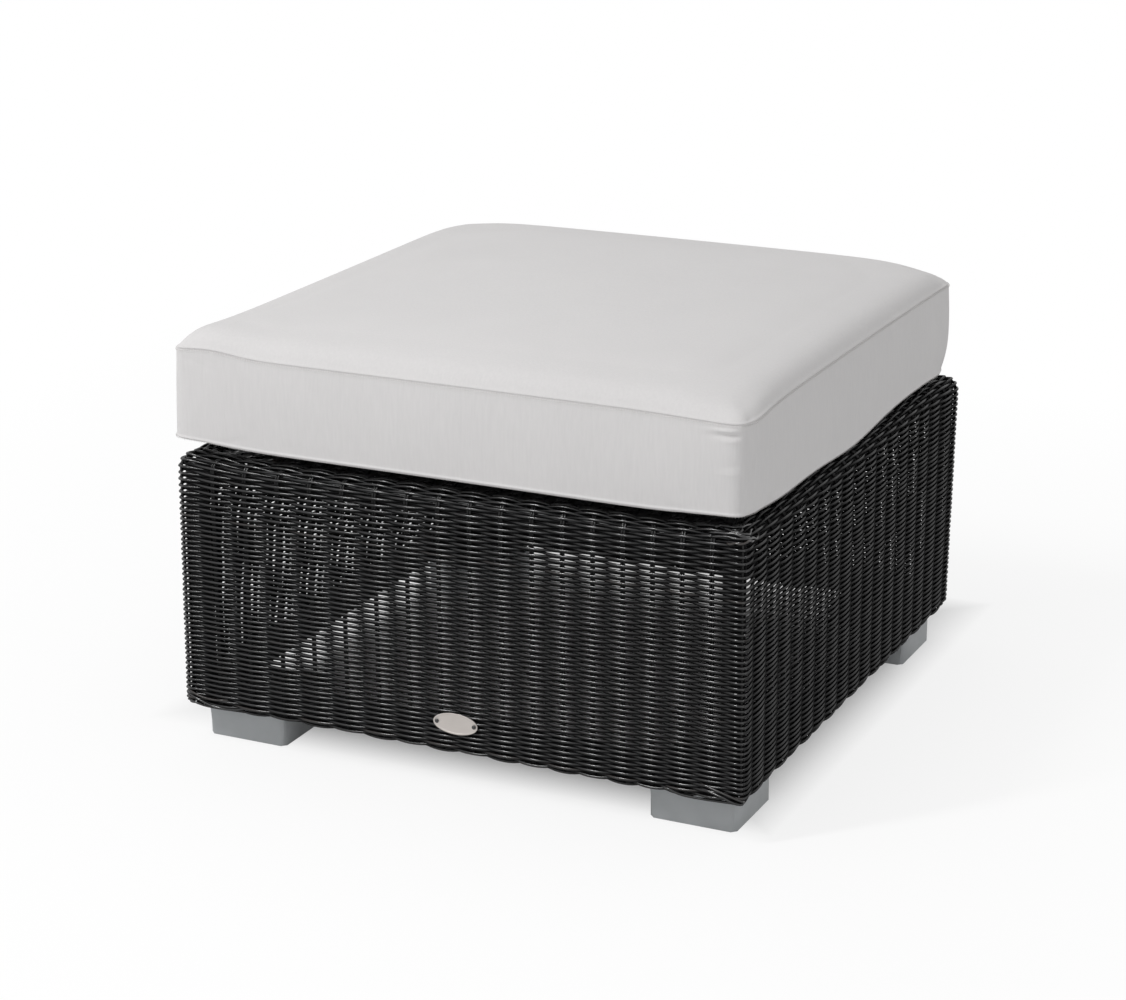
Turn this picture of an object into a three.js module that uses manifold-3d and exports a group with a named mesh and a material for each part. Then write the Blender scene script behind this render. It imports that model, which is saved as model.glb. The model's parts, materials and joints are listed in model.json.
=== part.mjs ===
// An outdoor ottoman footstool: a woven base on an aluminium tube frame, block feet, and a loose
// box cushion with a zipped cover. Millimetres, +Z up, front face towards -Y. The origin is on the
// floor under the middle of the base.
import * as THREE from "three";
import { mergeVertices } from "three/addons/utils/BufferGeometryUtils.js";
import Module from "manifold-3d";

const wasm = await Module();
wasm.setup();

// Woven base
const baseWidth = 700;
const baseDepth = 700;
const baseHeight = 305; // from the top of the feet to the top of the rolled rim
const weaveThickness = 8;
const rimWrap = 40; // degrees that the weave rolls on past the top of the rail
const underlap = 25; // how far the weave tucks in under the bottom rail
const weaveCorner = 14; // plan radius of the woven corners
const mitreGap = 0.25; // each woven wall stops this far short of the corner line
const tightestFold = 1; // smallest plan radius of the weave, where it rolls in past the tubes
const stakeCount = 17; // uprights in each wall, besides the one at each corner
const stakeMargin = 32; // from the start of the corner's bend to the outermost of them
const crestWidth = 10; // the strands stand proud this far across an upright
const weaveRelief = 3; // and dip in by this much half way to the next
const frontStakeShift = 27; // the front wall's middle upright stands this far right of its middle
const frontStakeDrift = 0.35; // and the spacing narrows by twice this from one to the next

// Tube frame
const tubeDiameter = 25;
const tubeWall = 1.5;
const slatCount = 3;
const slatWidth = 30;
const slatHeight = 15;
const slatWall = 1.5;
const plateThickness = 4;
const plateWidth = 90;

// Block feet and the screws that hold them
const footSide = 102;
const footHeight = 42;
const footInsetSide = 18; // from the left and right faces of the base
const footInsetFront = 27; // from its front and back faces
const footWall = 4;
const footCorner = 6;
const footBevel = 2;
const footBossRadius = 18;
const screwRadius = 4;
const screwHeadRadius = 6.5;
const screwHeadHeight = 8;
const screwRecess = 14; // depth of the hole that sinks the head
const screwSocketRadius = 3;
const screwSocketDepth = 4;
const nutHeight = 6.5;
const nutRadius = 7.5;
const screwTipPastNut = 2;

// Oval name plate, left bare
const badgeWidth = 55;
const badgeHeight = 25;
const badgeThickness = 1.2;
const badgeX = 8.5;
const badgeZ = 81;
const badgeHoleInset = 4.5; // from the tip of the oval to the middle of its hole
const badgeTieRadius = 1.2;
const badgeTieHeadRadius = 2.4;
const badgeTieDomeHeight = 1.2;
const domeShoulder = 0.7; // share of the tie's dome, out and up, where it turns over

// Cushion
const cushionInset = 6; // from the faces of the base
const cushionLift = 13; // lower seam above the rim
const boxingHeight = 105; // from the lower seam to the upper one
const cushionCorner = 14;
const coverThickness = 1;
const sidePull = 3; // the front, left and right sides draw in between the corners
const sideBulge = 2; // the boxing swells between its two seams
const shoulderRise = 24; // the top swells this much close to the upper seam
const shoulderReach = 9; // how fast it does so
const crownRise = 18; // and this much more towards the middle
const crownReach = 45; // over this width
const bellyReach = 110; // the underside slopes up to its seam over this width
const zipWidth = 7;
const zipProud = 0.6;
const sliderLength = 12;
const sliderHeight = 11;
const sliderThickness = 2;
const pullLength = 24;
const pullWidth = 4;
const pullThickness = 1.2;
const pinRadius = 0.8;
const eyeWall = 1.1;
const lugWidth = 1.5;

// Clearances
const seatGap = 0.3; // between pieces that rest on each other
const boreGap = 0.3; // round a screw or a pin, on the radius
const recessGap = 1.5; // round a screw head, on the radius

// How finely round shapes are divided
const roundSteps = 20; // all the way round
const cornerSteps = 3;
const footCornerSteps = 2;
const quarterSteps = 5; // for a quarter turn of the rolled rim
const sideSteps = 6;
const boxingSteps = 4;
const flatness = 0.01; // triangles that differ by less than this from one flat face are merged

// Places that follow from the sizes
const tubeRadius = tubeDiameter / 2;
const bendRadius = tubeRadius + seatGap + weaveThickness; // the rim rolls round the top rail
const weaveBottom = footHeight + seatGap;
const rimTop = footHeight + baseHeight;
const railZ = rimTop - bendRadius;
const railBottom = weaveBottom + weaveThickness + seatGap;
const railInset = weaveThickness + seatGap; // outer face of the bottom rails
const postX = baseWidth / 2 - bendRadius;
const postY = baseDepth / 2 - bendRadius;
const rimEnd = THREE.MathUtils.degToRad(rimWrap);
const deckInset = bendRadius + bendRadius * Math.sin(rimEnd) + seatGap;
const deckTop = railZ + bendRadius * Math.cos(rimEnd);
const footX = baseWidth / 2 - footInsetSide - footSide / 2;
const footY = baseDepth / 2 - footInsetFront - footSide / 2;
const cushionHalfX = baseWidth / 2 - cushionInset;
const cushionHalfY = baseDepth / 2 - cushionInset;
const lowerSeam = rimTop + cushionLift;
const upperSeam = lowerSeam + boxingHeight;
const bellySag = lowerSeam - coverThickness - seatGap - deckTop;
const coreInset = coverThickness + seatGap;

const weave = new THREE.MeshStandardMaterial({ color: 0x1d1c1e, roughness: 0.38, metalness: 0 });
const coated = new THREE.MeshStandardMaterial({ color: 0x2b2b2d, roughness: 0.5, metalness: 0.3 });
const footGrey = new THREE.MeshStandardMaterial({ color: 0x8d9092, roughness: 0.45, metalness: 0.1 });
const steel = new THREE.MeshStandardMaterial({ color: 0xb4aeaa, roughness: 0.35, metalness: 1 });
const zinc = new THREE.MeshStandardMaterial({ color: 0x8c8f92, roughness: 0.4, metalness: 1 });
const fabric = new THREE.MeshStandardMaterial({ color: 0xd2d0d0, roughness: 0.9, metalness: 0 });
const foam = new THREE.MeshStandardMaterial({ color: 0xe9e3cf, roughness: 0.95, metalness: 0 });
const nylon = new THREE.MeshStandardMaterial({ color: 0xc4c2c1, roughness: 0.5, metalness: 0 });

const ottoman = new THREE.Group();

function addPiece(name, geometry, material, parent = ottoman) {
  const mesh = new THREE.Mesh(geometry, material);
  mesh.name = name;
  parent.add(mesh);
  return mesh;
}

// Booleans: a three.js geometry as a solid, and back
function toSolid(geometry) {
  const bare = geometry.index ? geometry.toNonIndexed() : geometry.clone();
  bare.deleteAttribute("normal");
  bare.deleteAttribute("uv");
  const merged = mergeVertices(bare, 1e-4);
  const vertProperties = merged.attributes.position.array;
  const triVerts = new Uint32Array(merged.index.array);
  return new wasm.Manifold(new wasm.Mesh({ numProp: 3, vertProperties, triVerts }));
}

function toGeometry(solid) {
  const mesh = solid.getMesh();
  const geometry = new THREE.BufferGeometry();
  geometry.setAttribute("position", new THREE.BufferAttribute(mesh.vertProperties, 3));
  geometry.setIndex(new THREE.BufferAttribute(mesh.triVerts, 1));
  return geometry;
}

// A geometry from triangles of three points each, turned to face out; slivers with two corners in
// one place are left out.
function fromTriangles(triangles) {
  const same = (p, q) => p.distanceTo(q) < 1e-3;
  const kept = triangles.filter(([a, b, c]) => !same(a, b) && !same(b, c) && !same(c, a));
  const volume = kept.reduce((sum, [a, b, c]) => sum + a.dot(b.clone().cross(c)), 0);
  const ordered = kept.flatMap(([a, b, c]) => (volume < 0 ? [a, c, b] : [a, b, c]));
  return new THREE.BufferGeometry().setFromPoints(ordered);
}

// A closed solid through equal loops of points. Each quad is cut along its shorter diagonal, so two
// skins with the same loops stay parallel. The caps close the first and last loop.
function loft(loops, caps = []) {
  const triangles = [];
  const last = loops.length - 1;
  for (let i = 0; i < last; i++) {
    loops[i].forEach((a, j) => {
      const next = (j + 1) % loops[i].length;
      const [b, c, d] = [loops[i][next], loops[i + 1][next], loops[i + 1][j]];
      if (a.distanceTo(c) <= b.distanceTo(d)) triangles.push([a, b, c], [a, c, d]);
      else triangles.push([a, b, d], [b, c, d]);
    });
  }
  for (const [p, q, r] of caps) {
    triangles.push([loops[0][p], loops[0][r], loops[0][q]]);
    triangles.push([loops[last][p], loops[last][q], loops[last][r]]);
  }
  return fromTriangles(triangles);
}

// Triangles that fill a section, as places in it, wound the way the section runs
function capOf(section) {
  const fill = THREE.ShapeUtils.triangulateShape(section, []);
  return THREE.ShapeUtils.isClockWise(section) ? fill.map(([a, b, c]) => [a, c, b]) : fill;
}

function circle(radius, x = 0, y = 0) {
  return new THREE.Path().absarc(x, y, radius, 0, 2 * Math.PI, true);
}

function disc(radius) {
  return new THREE.Shape().absarc(0, 0, radius, 0, 2 * Math.PI, false);
}

function rectangle(width, height, ShapeType = THREE.Shape) {
  const [w, h] = [width / 2, height / 2];
  const corners = [[-w, -h], [w, -h], [w, h], [-w, h]].map(([x, y]) => new THREE.Vector2(x, y));
  return new ShapeType(corners);
}

function roundedRectangle(width, height, radius) {
  const [w, h] = [width / 2 - radius, height / 2 - radius];
  const shape = new THREE.Shape();
  shape.absarc(w, h, radius, 0, Math.PI / 2);
  shape.absarc(-w, h, radius, Math.PI / 2, Math.PI);
  shape.absarc(-w, -h, radius, Math.PI, 1.5 * Math.PI);
  shape.absarc(w, -h, radius, 1.5 * Math.PI, 2 * Math.PI);
  return shape;
}

// An arc gets twice as many points as curveSegments.
function prism(shape, length, curveSegments = roundSteps / 2) {
  return new THREE.ExtrudeGeometry(shape, { depth: length, bevelEnabled: false, curveSegments });
}

// The two ends of a row of mirrored pieces
const sides = [
  { name: "left", sign: -1 },
  { name: "right", sign: 1 },
];
const ends = [
  { name: "front", sign: -1 },
  { name: "back", sign: 1 },
];
const corners = ends.flatMap((end) =>
  sides.map((side) => ({ name: `${end.name}_${side.name}`, x: side.sign, y: end.sign })),
);

// The four faces of the base, turned about Z from the front one. The uprights of the front wall stand
// off the middle and close up towards its right, those of the others are spread evenly.
const uneven = { shift: frontStakeShift, drift: frontStakeDrift };
const even = { shift: 0, drift: 0 };
const faces = [
  { name: "front", turn: 0, span: baseWidth, reach: baseDepth, stakes: uneven },
  { name: "right", turn: Math.PI / 2, span: baseDepth, reach: baseWidth, stakes: even },
  { name: "back", turn: Math.PI, span: baseWidth, reach: baseDepth, stakes: even },
  { name: "left", turn: -Math.PI / 2, span: baseDepth, reach: baseWidth, stakes: even },
];

// Woven walls

// The wall's section as (distance in from the outer face, height): tucked under, up, over the rail.
// Its outer side lies in by a dip.
function wallSection(dip) {
  const section = [new THREE.Vector2(railInset + underlap, weaveBottom)];
  const cornerTurn = Math.PI / 2 / cornerSteps;
  for (let i = 0; i <= cornerSteps; i++) {
    const turn = i * cornerTurn;
    const radius = weaveThickness - dip * Math.sin(turn);
    const inward = weaveThickness - radius * Math.sin(turn);
    section.push(new THREE.Vector2(inward, weaveBottom + weaveThickness - radius * Math.cos(turn)));
  }
  const overSteps = Math.ceil((rimWrap / 90) * quarterSteps);
  const turns = [...Array(quarterSteps).keys()].map((i) => (i * Math.PI) / 2 / quarterSteps);
  for (let i = 0; i <= overSteps; i++) turns.push(Math.PI / 2 + (i * rimEnd) / overSteps);
  const roll = (radius) => (turn) =>
    new THREE.Vector2(bendRadius - radius * Math.cos(turn), railZ + radius * Math.sin(turn));
  section.push(...turns.map(roll(bendRadius - dip)));
  section.push(...turns.map(roll(bendRadius - weaveThickness)).reverse());
  section.push(new THREE.Vector2(weaveThickness, weaveBottom + weaveThickness));
  section.push(new THREE.Vector2(railInset + underlap, weaveBottom + weaveThickness));
  return section;
}

// Where the section stands half way round a corner
function cornerLoop(section, span, reach, side, cornerShare) {
  const turn = (cornerShare * Math.PI) / 4;
  return section.map(({ x: inset, y: height }) => {
    const radius = Math.max(weaveCorner - inset, tightestFold);
    const along = span / 2 - inset - radius + radius * Math.sin(turn) - mitreGap * cornerShare;
    const out = reach / 2 - inset - radius + radius * Math.cos(turn);
    return new THREE.Vector3(side * along, -out, height);
  });
}

// Where the section stands between the corners, at a place along the wall
function straightLoop(section, span, reach, along) {
  return section.map(({ x: inset, y: height }) => {
    const room = span / 2 - Math.max(weaveCorner, inset + tightestFold);
    return new THREE.Vector3(THREE.MathUtils.clamp(along, -room, room), inset - reach / 2, height);
  });
}

// Where the relief of a wall turns, as (place along it, dip): the two edges of the crest over each
// upright, and the valleys between them
function reliefStations(span, { shift, drift }) {
  const reach = span / 2 - weaveCorner;
  const pitch = (2 * (reach - stakeMargin)) / (stakeCount - 1);
  const stations = [];
  let edge = -reach;
  for (let i = 0; i < stakeCount; i++) {
    const step = i - (stakeCount - 1) / 2;
    const crest = shift + pitch * step - drift * step * step;
    const [start, end] = [crest - crestWidth / 2, crest + crestWidth / 2];
    stations.push([(edge + start) / 2, weaveRelief], [start, 0], [end, 0]);
    edge = end;
  }
  stations.push([(edge + reach) / 2, weaveRelief]);
  return stations;
}

function addWovenWalls() {
  const plain = wallSection(0);
  const shares = [...Array(cornerSteps + 1).keys()].map((i) => i / cornerSteps);
  for (const { name, turn, span, reach, stakes } of faces) {
    const left = shares.map((share) => cornerLoop(plain, span, reach, -1, share)).reverse();
    const right = shares.map((share) => cornerLoop(plain, span, reach, 1, share));
    const middle = reliefStations(span, stakes).map(([along, dip]) =>
      straightLoop(wallSection(dip), span, reach, along),
    );
    const ribbed = toSolid(loft([...left, ...middle, ...right], capOf(plain))).simplify(flatness);
    const wall = addPiece(`wicker_${name}`, toGeometry(ribbed), weave);
    wall.rotation.z = turn;
  }
}

function addWovenDeck() {
  const width = baseWidth - 2 * deckInset;
  const depth = baseDepth - 2 * deckInset;
  const deck = addPiece("wicker_deck", prism(rectangle(width, depth), weaveThickness), weave);
  deck.position.z = deckTop - weaveThickness;
}

// Frame

function postGeometry() {
  const length = railZ - railBottom;
  const dome = (radius) =>
    [...Array(cornerSteps + 1).keys()].map((i) => {
      const angle = (i * Math.PI) / 2 / cornerSteps;
      return new THREE.Vector2(radius * Math.cos(angle), length + radius * Math.sin(angle));
    });
  const bore = tubeRadius - tubeWall;
  const profile = [
    ...dome(bore).reverse(),
    new THREE.Vector2(bore, 0),
    new THREE.Vector2(tubeRadius, 0),
    ...dome(tubeRadius),
  ];
  profile[0].x = 0;
  profile[profile.length - 1].x = 0;
  return new THREE.LatheGeometry(profile, roundSteps).rotateX(Math.PI / 2);
}

function addPosts() {
  for (const { name, x, y } of corners) {
    const post = addPiece(`post_${name}`, postGeometry(), coated);
    post.position.set(x * postX, y * postY, railBottom);
  }
}

// Rails lie along X in the front face and turn with the others.
function addRails() {
  const round = disc(tubeRadius);
  round.holes.push(circle(tubeRadius - tubeWall));
  const square = rectangle(tubeDiameter, tubeDiameter);
  square.holes.push(rectangle(tubeDiameter - 2 * tubeWall, tubeDiameter - 2 * tubeWall, THREE.Path));
  for (const { name, turn, span, reach } of faces) {
    const length = span - 2 * (bendRadius + tubeRadius + seatGap);
    const face = new THREE.Group();
    face.rotation.z = turn;
    ottoman.add(face);
    for (const [level, shape, height] of [
      ["top_rail", round, railZ],
      ["bottom_rail", square, railBottom + tubeRadius],
    ]) {
      const geometry = prism(shape, length).rotateY(Math.PI / 2);
      const rail = addPiece(`${level}_${name}`, geometry, coated, face);
      rail.position.set(-length / 2, -(reach / 2 - bendRadius), height);
    }
  }
}

function addSlats() {
  const length = baseDepth - 2 * (bendRadius + tubeRadius + seatGap);
  const shape = rectangle(slatWidth, slatHeight);
  shape.holes.push(rectangle(slatWidth - 2 * slatWall, slatHeight - 2 * slatWall, THREE.Path));
  const pitch = (baseWidth - 2 * bendRadius) / (slatCount + 1);
  for (let i = 0; i < slatCount; i++) {
    const slat = addPiece(`deck_slat_${i + 1}`, prism(shape, length).rotateX(Math.PI / 2), coated);
    const top = deckTop - weaveThickness - seatGap;
    slat.position.set((i + 1) * pitch - (baseWidth / 2 - bendRadius), length / 2, top - slatHeight / 2);
  }
}

// Each corner plate is welded between two bottom rails and takes a foot's screw.
function addCornerPlates() {
  const outer = railInset + tubeDiameter + seatGap;
  for (const { name, x, y } of corners) {
    const shape = rectangle(plateWidth, plateWidth);
    const middleX = x * (baseWidth / 2 - outer - plateWidth / 2);
    const middleY = y * (baseDepth / 2 - outer - plateWidth / 2);
    shape.holes.push(circle(screwRadius + boreGap, x * footX - middleX, y * footY - middleY));
    const plate = addPiece(`corner_plate_${name}`, prism(shape, plateThickness), coated);
    plate.position.set(middleX, middleY, railBottom);
  }
}

// Feet

function footGeometry() {
  const outline = roundedRectangle(footSide, footSide, footCorner);
  const block = new THREE.ExtrudeGeometry(outline, {
    depth: footHeight - 2 * footBevel,
    bevelThickness: footBevel,
    bevelSize: footBevel,
    bevelOffset: -footBevel,
    bevelSegments: 1,
    curveSegments: footCornerSteps,
  }).translate(0, 0, footBevel);
  const pocketSide = footSide - 2 * footWall;
  const pocketShape = roundedRectangle(pocketSide, pocketSide, footCorner);
  const pocket = prism(pocketShape, footHeight, footCornerSteps);
  const boss = prism(disc(footBossRadius), railBottom - seatGap - footWall / 2);
  const bore = prism(disc(screwRadius + boreGap), railBottom + footHeight);
  const recess = prism(disc(screwHeadRadius + recessGap), footHeight);
  const foot = toSolid(block)
    .subtract(toSolid(pocket.translate(0, 0, footWall)))
    .add(toSolid(boss.translate(0, 0, footWall / 2)))
    .subtract(toSolid(bore.translate(0, 0, -footHeight / 2)))
    .subtract(toSolid(recess.translate(0, 0, screwRecess - footHeight)));
  return toGeometry(foot);
}

// A cap screw, head down, with a round socket in its head
function screwGeometry() {
  const headTop = screwRecess - seatGap;
  const headBottom = headTop - screwHeadHeight;
  const tip = railBottom + plateThickness + seatGap + nutHeight + screwTipPastNut;
  const profile = [
    [0, headBottom + screwSocketDepth],
    [screwSocketRadius, headBottom + screwSocketDepth],
    [screwSocketRadius, headBottom],
    [screwHeadRadius, headBottom],
    [screwHeadRadius, headTop],
    [screwRadius, headTop],
    [screwRadius, tip],
    [0, tip],
  ].map(([radius, height]) => new THREE.Vector2(radius, height));
  return new THREE.LatheGeometry(profile, roundSteps).rotateX(Math.PI / 2);
}

function nutGeometry() {
  const hexagon = new THREE.Shape(
    [0, 1, 2, 3, 4, 5].map((i) => {
      const angle = (i * Math.PI) / 3;
      return new THREE.Vector2(nutRadius * Math.cos(angle), nutRadius * Math.sin(angle));
    }),
  );
  hexagon.holes.push(circle(screwRadius + boreGap));
  return prism(hexagon, nutHeight);
}

function addFeet() {
  for (const { name, x, y } of corners) {
    const place = new THREE.Group();
    place.position.set(x * footX, y * footY, 0);
    ottoman.add(place);
    addPiece(`foot_${name}`, footGeometry(), footGrey, place);
    addPiece(`foot_screw_${name}`, screwGeometry(), zinc, place);
    const nut = addPiece(`foot_nut_${name}`, nutGeometry(), zinc, place);
    nut.position.z = railBottom + plateThickness + seatGap;
  }
}

// Name plate: a bare oval with a tie through a hole at each tip
function addBadge() {
  const oval = new THREE.Shape().absellipse(0, 0, badgeWidth / 2, badgeHeight / 2, 0, 2 * Math.PI);
  const holeX = badgeWidth / 2 - badgeHoleInset;
  const holeRadius = badgeTieRadius + boreGap;
  for (const { sign } of sides) oval.holes.push(circle(holeRadius, sign * holeX));
  const place = new THREE.Group();
  place.position.set(badgeX, -baseDepth / 2 - seatGap, badgeZ);
  place.rotation.x = Math.PI / 2;
  ottoman.add(place);
  addPiece("badge_plate", prism(oval, badgeThickness, roundSteps), steel, place);
  const headFoot = badgeThickness + seatGap;
  const profile = [
    [0, 0],
    [badgeTieRadius, 0],
    [badgeTieRadius, headFoot],
    [badgeTieHeadRadius, headFoot],
    [badgeTieHeadRadius * domeShoulder, headFoot + badgeTieDomeHeight * domeShoulder],
    [0, headFoot + badgeTieDomeHeight],
  ].map(([radius, height]) => new THREE.Vector2(radius, height));
  for (const { name, sign } of sides) {
    const geometry = new THREE.LatheGeometry(profile, roundSteps).rotateX(Math.PI / 2);
    const tie = addPiece(`badge_tie_${name}`, geometry, weave, place);
    tie.position.x = sign * holeX;
  }
}

// Cushion

// The seam's outline as points of x and y, side by side and corner by corner from the front left.
// The back side, which the zip keeps straight, has no pull.
function seamOutline() {
  const points = [];
  faces.forEach(({ name, turn }, k) => {
    const [along, out] = k % 2 ? [cushionHalfY, cushionHalfX] : [cushionHalfX, cushionHalfY];
    const pull = name === "back" ? 0 : sidePull;
    const place = (u, v) => {
      const [cos, sin] = [Math.cos(turn), Math.sin(turn)];
      points.push(new THREE.Vector2(u * cos - v * sin, u * sin + v * cos));
    };
    for (let i = 0; i <= sideSteps; i++) {
      const t = (2 * i) / sideSteps - 1;
      place(t * (along - cushionCorner), -(out - pull * (1 - t * t)));
    }
    for (let i = 1; i < cornerSteps; i++) {
      const angle = (i * Math.PI) / 2 / cornerSteps;
      const reach = cushionCorner * Math.cos(angle);
      place(along - cushionCorner + cushionCorner * Math.sin(angle), -(out - cushionCorner + reach));
    }
  });
  return points;
}

const outline = seamOutline();
const sideStations = sideSteps + cornerSteps; // points of the outline for a side and its corner
const backStart = 2 * sideStations;
const backEnd = backStart + sideSteps;

// The outline drawn in by an inset, at a height that may depend on the place.
function drawnIn(points, inset, height) {
  return points.map(({ x, y }) => {
    const place = new THREE.Vector3(x * (1 - inset / cushionHalfX), y * (1 - inset / cushionHalfY), 0);
    place.z = height(place, inset);
    return place;
  });
}

// Insets at which the cushion's top and underside have a loop of points: close set where they
// turn over, then down the slope of the underside and half way to the middle
const slopeInsets = [0.7, 1].map((share) => share * bellyReach);
const midInset = (bellyReach + Math.min(cushionHalfX, cushionHalfY)) / 2;
const skinInsets = [0, coreInset, 4, 8, 14, 24, crownReach, ...slopeInsets, midInset];

function crown(place, inset) {
  const shoulder = shoulderRise * (1 - Math.exp(-inset / shoulderReach));
  const acrossX = 1 - (place.x / cushionHalfX) ** 2;
  const acrossY = 1 - (place.y / cushionHalfY) ** 2;
  return shoulder + crownRise * acrossX * acrossY * Math.min(1, inset / crownReach);
}

function belly(place, inset) {
  return -bellySag * THREE.MathUtils.smoothstep(inset, 0, bellyReach);
}

const swell = (share) => sideBulge * Math.sin(Math.PI * share);

// Loops from the middle out, at a base height plus a law of place and inset
function skinLoops(insets, base, law) {
  const loops = insets.map((inset) => drawnIn(outline, inset, (p, d) => base + law(p, d)));
  const deepest = Math.min(cushionHalfX, cushionHalfY);
  const middle = new THREE.Vector3(0, 0, 0);
  middle.z = base + law(middle, deepest);
  return [outline.map(() => middle), ...loops.reverse()];
}

function boxingLevels(from, to) {
  return [...Array(boxingSteps + 1).keys()].map((i) => from + ((to - from) * i) / boxingSteps);
}

const boxingZ = (share) => lowerSeam + seatGap + share * (boxingHeight - 2 * seatGap);

function addFoamCore() {
  const insets = skinInsets.filter((inset) => inset >= coreInset);
  const top = skinLoops(insets, upperSeam - seatGap, crown);
  const walls = boxingLevels(1, 0)
    .slice(1, -1)
    .map((share) => drawnIn(outline, coreInset - swell(share), () => boxingZ(share)));
  const bottom = skinLoops(insets, lowerSeam + seatGap, belly).reverse();
  addPiece("foam_core", loft([...top, ...walls, ...bottom]), foam);
}

function addCoverPanels() {
  const topOut = skinLoops(skinInsets, upperSeam + coverThickness, crown);
  const topIn = skinLoops(skinInsets, upperSeam, crown).reverse();
  addPiece("cover_top", loft([...topOut, ...topIn]), fabric);
  const lowOut = skinLoops(skinInsets, lowerSeam - coverThickness, belly);
  const lowIn = skinLoops(skinInsets, lowerSeam, belly).reverse();
  addPiece("cover_bottom", loft([...lowOut, ...lowIn]), fabric);
}

// A strip of the cover's side along some of the outline's points, between two shares of its height
function sideStrip(path, from, to, proud, depth, steps = boxingSteps) {
  const shares = [...Array(steps + 1).keys()].map((i) => from + ((to - from) * i) / steps);
  const levels = [
    ...shares.map((share) => ({ share, inset: -proud })),
    ...[...shares].reverse().map((share) => ({ share, inset: depth })),
  ];
  const section = levels.map(({ share, inset }) => new THREE.Vector2(inset - swell(share), boxingZ(share)));
  const loops = path.map((point) =>
    section.map(({ x: inset, y: height }) => drawnIn([point], inset, () => height)[0]),
  );
  return loft(loops, capOf(section));
}

// The ends of a path, stopped short by a gap
function shortened(path, gap) {
  const cut = (end, next) => end.clone().lerp(next, gap / end.distanceTo(next));
  const last = path.length - 1;
  return [cut(path[0], path[1]), ...path.slice(1, last), cut(path[last], path[last - 1])];
}

function addBoxing() {
  const round = [...outline.slice(backEnd), ...outline.slice(0, backStart + 1)];
  const band = sideStrip(shortened(round, seatGap), 0, 1, 0, coverThickness);
  addPiece("boxing_band", band, fabric);
  const back = outline.slice(backStart, backEnd + 1);
  const zipShare = (zipWidth / 2 + seatGap) / (boxingHeight - 2 * seatGap);
  const lower = sideStrip(back, 0, 0.5 - zipShare, 0, coverThickness, boxingSteps / 2);
  addPiece("zip_strip_lower", lower, fabric);
  const upper = sideStrip(back, 0.5 + zipShare, 1, 0, coverThickness, boxingSteps / 2);
  addPiece("zip_strip_upper", upper, fabric);
  const chainShare = zipWidth / 2 / (boxingHeight - 2 * seatGap);
  const chain = sideStrip(back, 0.5 - chainShare, 0.5 + chainShare, zipProud, coverThickness, 1);
  addPiece("zip_chain", chain, nylon);
}

// Slider and pull of the zip, closed at the left end of the back
function addZipSlider() {
  const eyeRadius = pinRadius + boreGap + eyeWall;
  const pinOut = sliderThickness + boreGap + eyeRadius;
  const inner = pullWidth / 2 + boreGap;
  const place = new THREE.Group();
  const chainFace = cushionHalfY + sideBulge + zipProud + seatGap;
  const closedX = -(cushionHalfX - cushionCorner - sliderLength);
  place.position.set(closedX, chainFace, boxingZ(0.5));
  ottoman.add(place);

  const plate = prism(rectangle(sliderLength, sliderHeight), sliderThickness).rotateX(-Math.PI / 2);
  let slider = toSolid(plate);
  const lugDepth = pinOut + pinRadius;
  for (const { sign } of sides) {
    const lug = prism(rectangle(lugWidth, 2 * eyeRadius), lugDepth).rotateX(-Math.PI / 2);
    slider = slider.add(toSolid(lug.translate(sign * (inner + lugWidth / 2), 0, 0)));
  }
  const pin = prism(disc(pinRadius), 2 * inner + lugWidth).rotateY(Math.PI / 2);
  slider = slider.add(toSolid(pin.translate(-inner - lugWidth / 2, pinOut, 0)));
  addPiece("zip_slider", toGeometry(slider), zinc, place);

  const eye = prism(disc(eyeRadius), pullWidth).rotateY(Math.PI / 2).translate(-pullWidth / 2, 0, 0);
  const tab = new THREE.BoxGeometry(pullWidth, pullThickness, pullLength);
  const bore = prism(disc(pinRadius + boreGap), 2 * pullWidth).rotateY(Math.PI / 2);
  const pull = toSolid(eye)
    .add(toSolid(tab.translate(0, 0, -pullLength / 2)))
    .subtract(toSolid(bore.translate(-pullWidth, 0, 0)));
  const pullMesh = addPiece("zip_pull", toGeometry(pull), zinc, place);
  pullMesh.position.y = pinOut;
}

addWovenWalls();
addWovenDeck();
addPosts();
addRails();
addSlats();
addCornerPlates();
addFeet();
addBadge();
addFoamCore();
addCoverPanels();
addBoxing();
addZipSlider();

export default ottoman;
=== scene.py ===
"""Outdoor ottoman footstool, dressed round its CAD frame.

Round resin strands are woven over paired stakes on the four walls and straps make the deck. The
cushion is a shaped cover, filled out a little more by a cloth simulation and then sewn. The feet,
plate and zip are modelled piece by piece.
All lengths are metres in the CAD frame: floor at 0, front face towards -Y.
"""

import json
import logging
import math
from dataclasses import dataclass
from enum import Enum

import bpy
import numpy as np
from mathutils import Matrix, Vector


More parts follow.
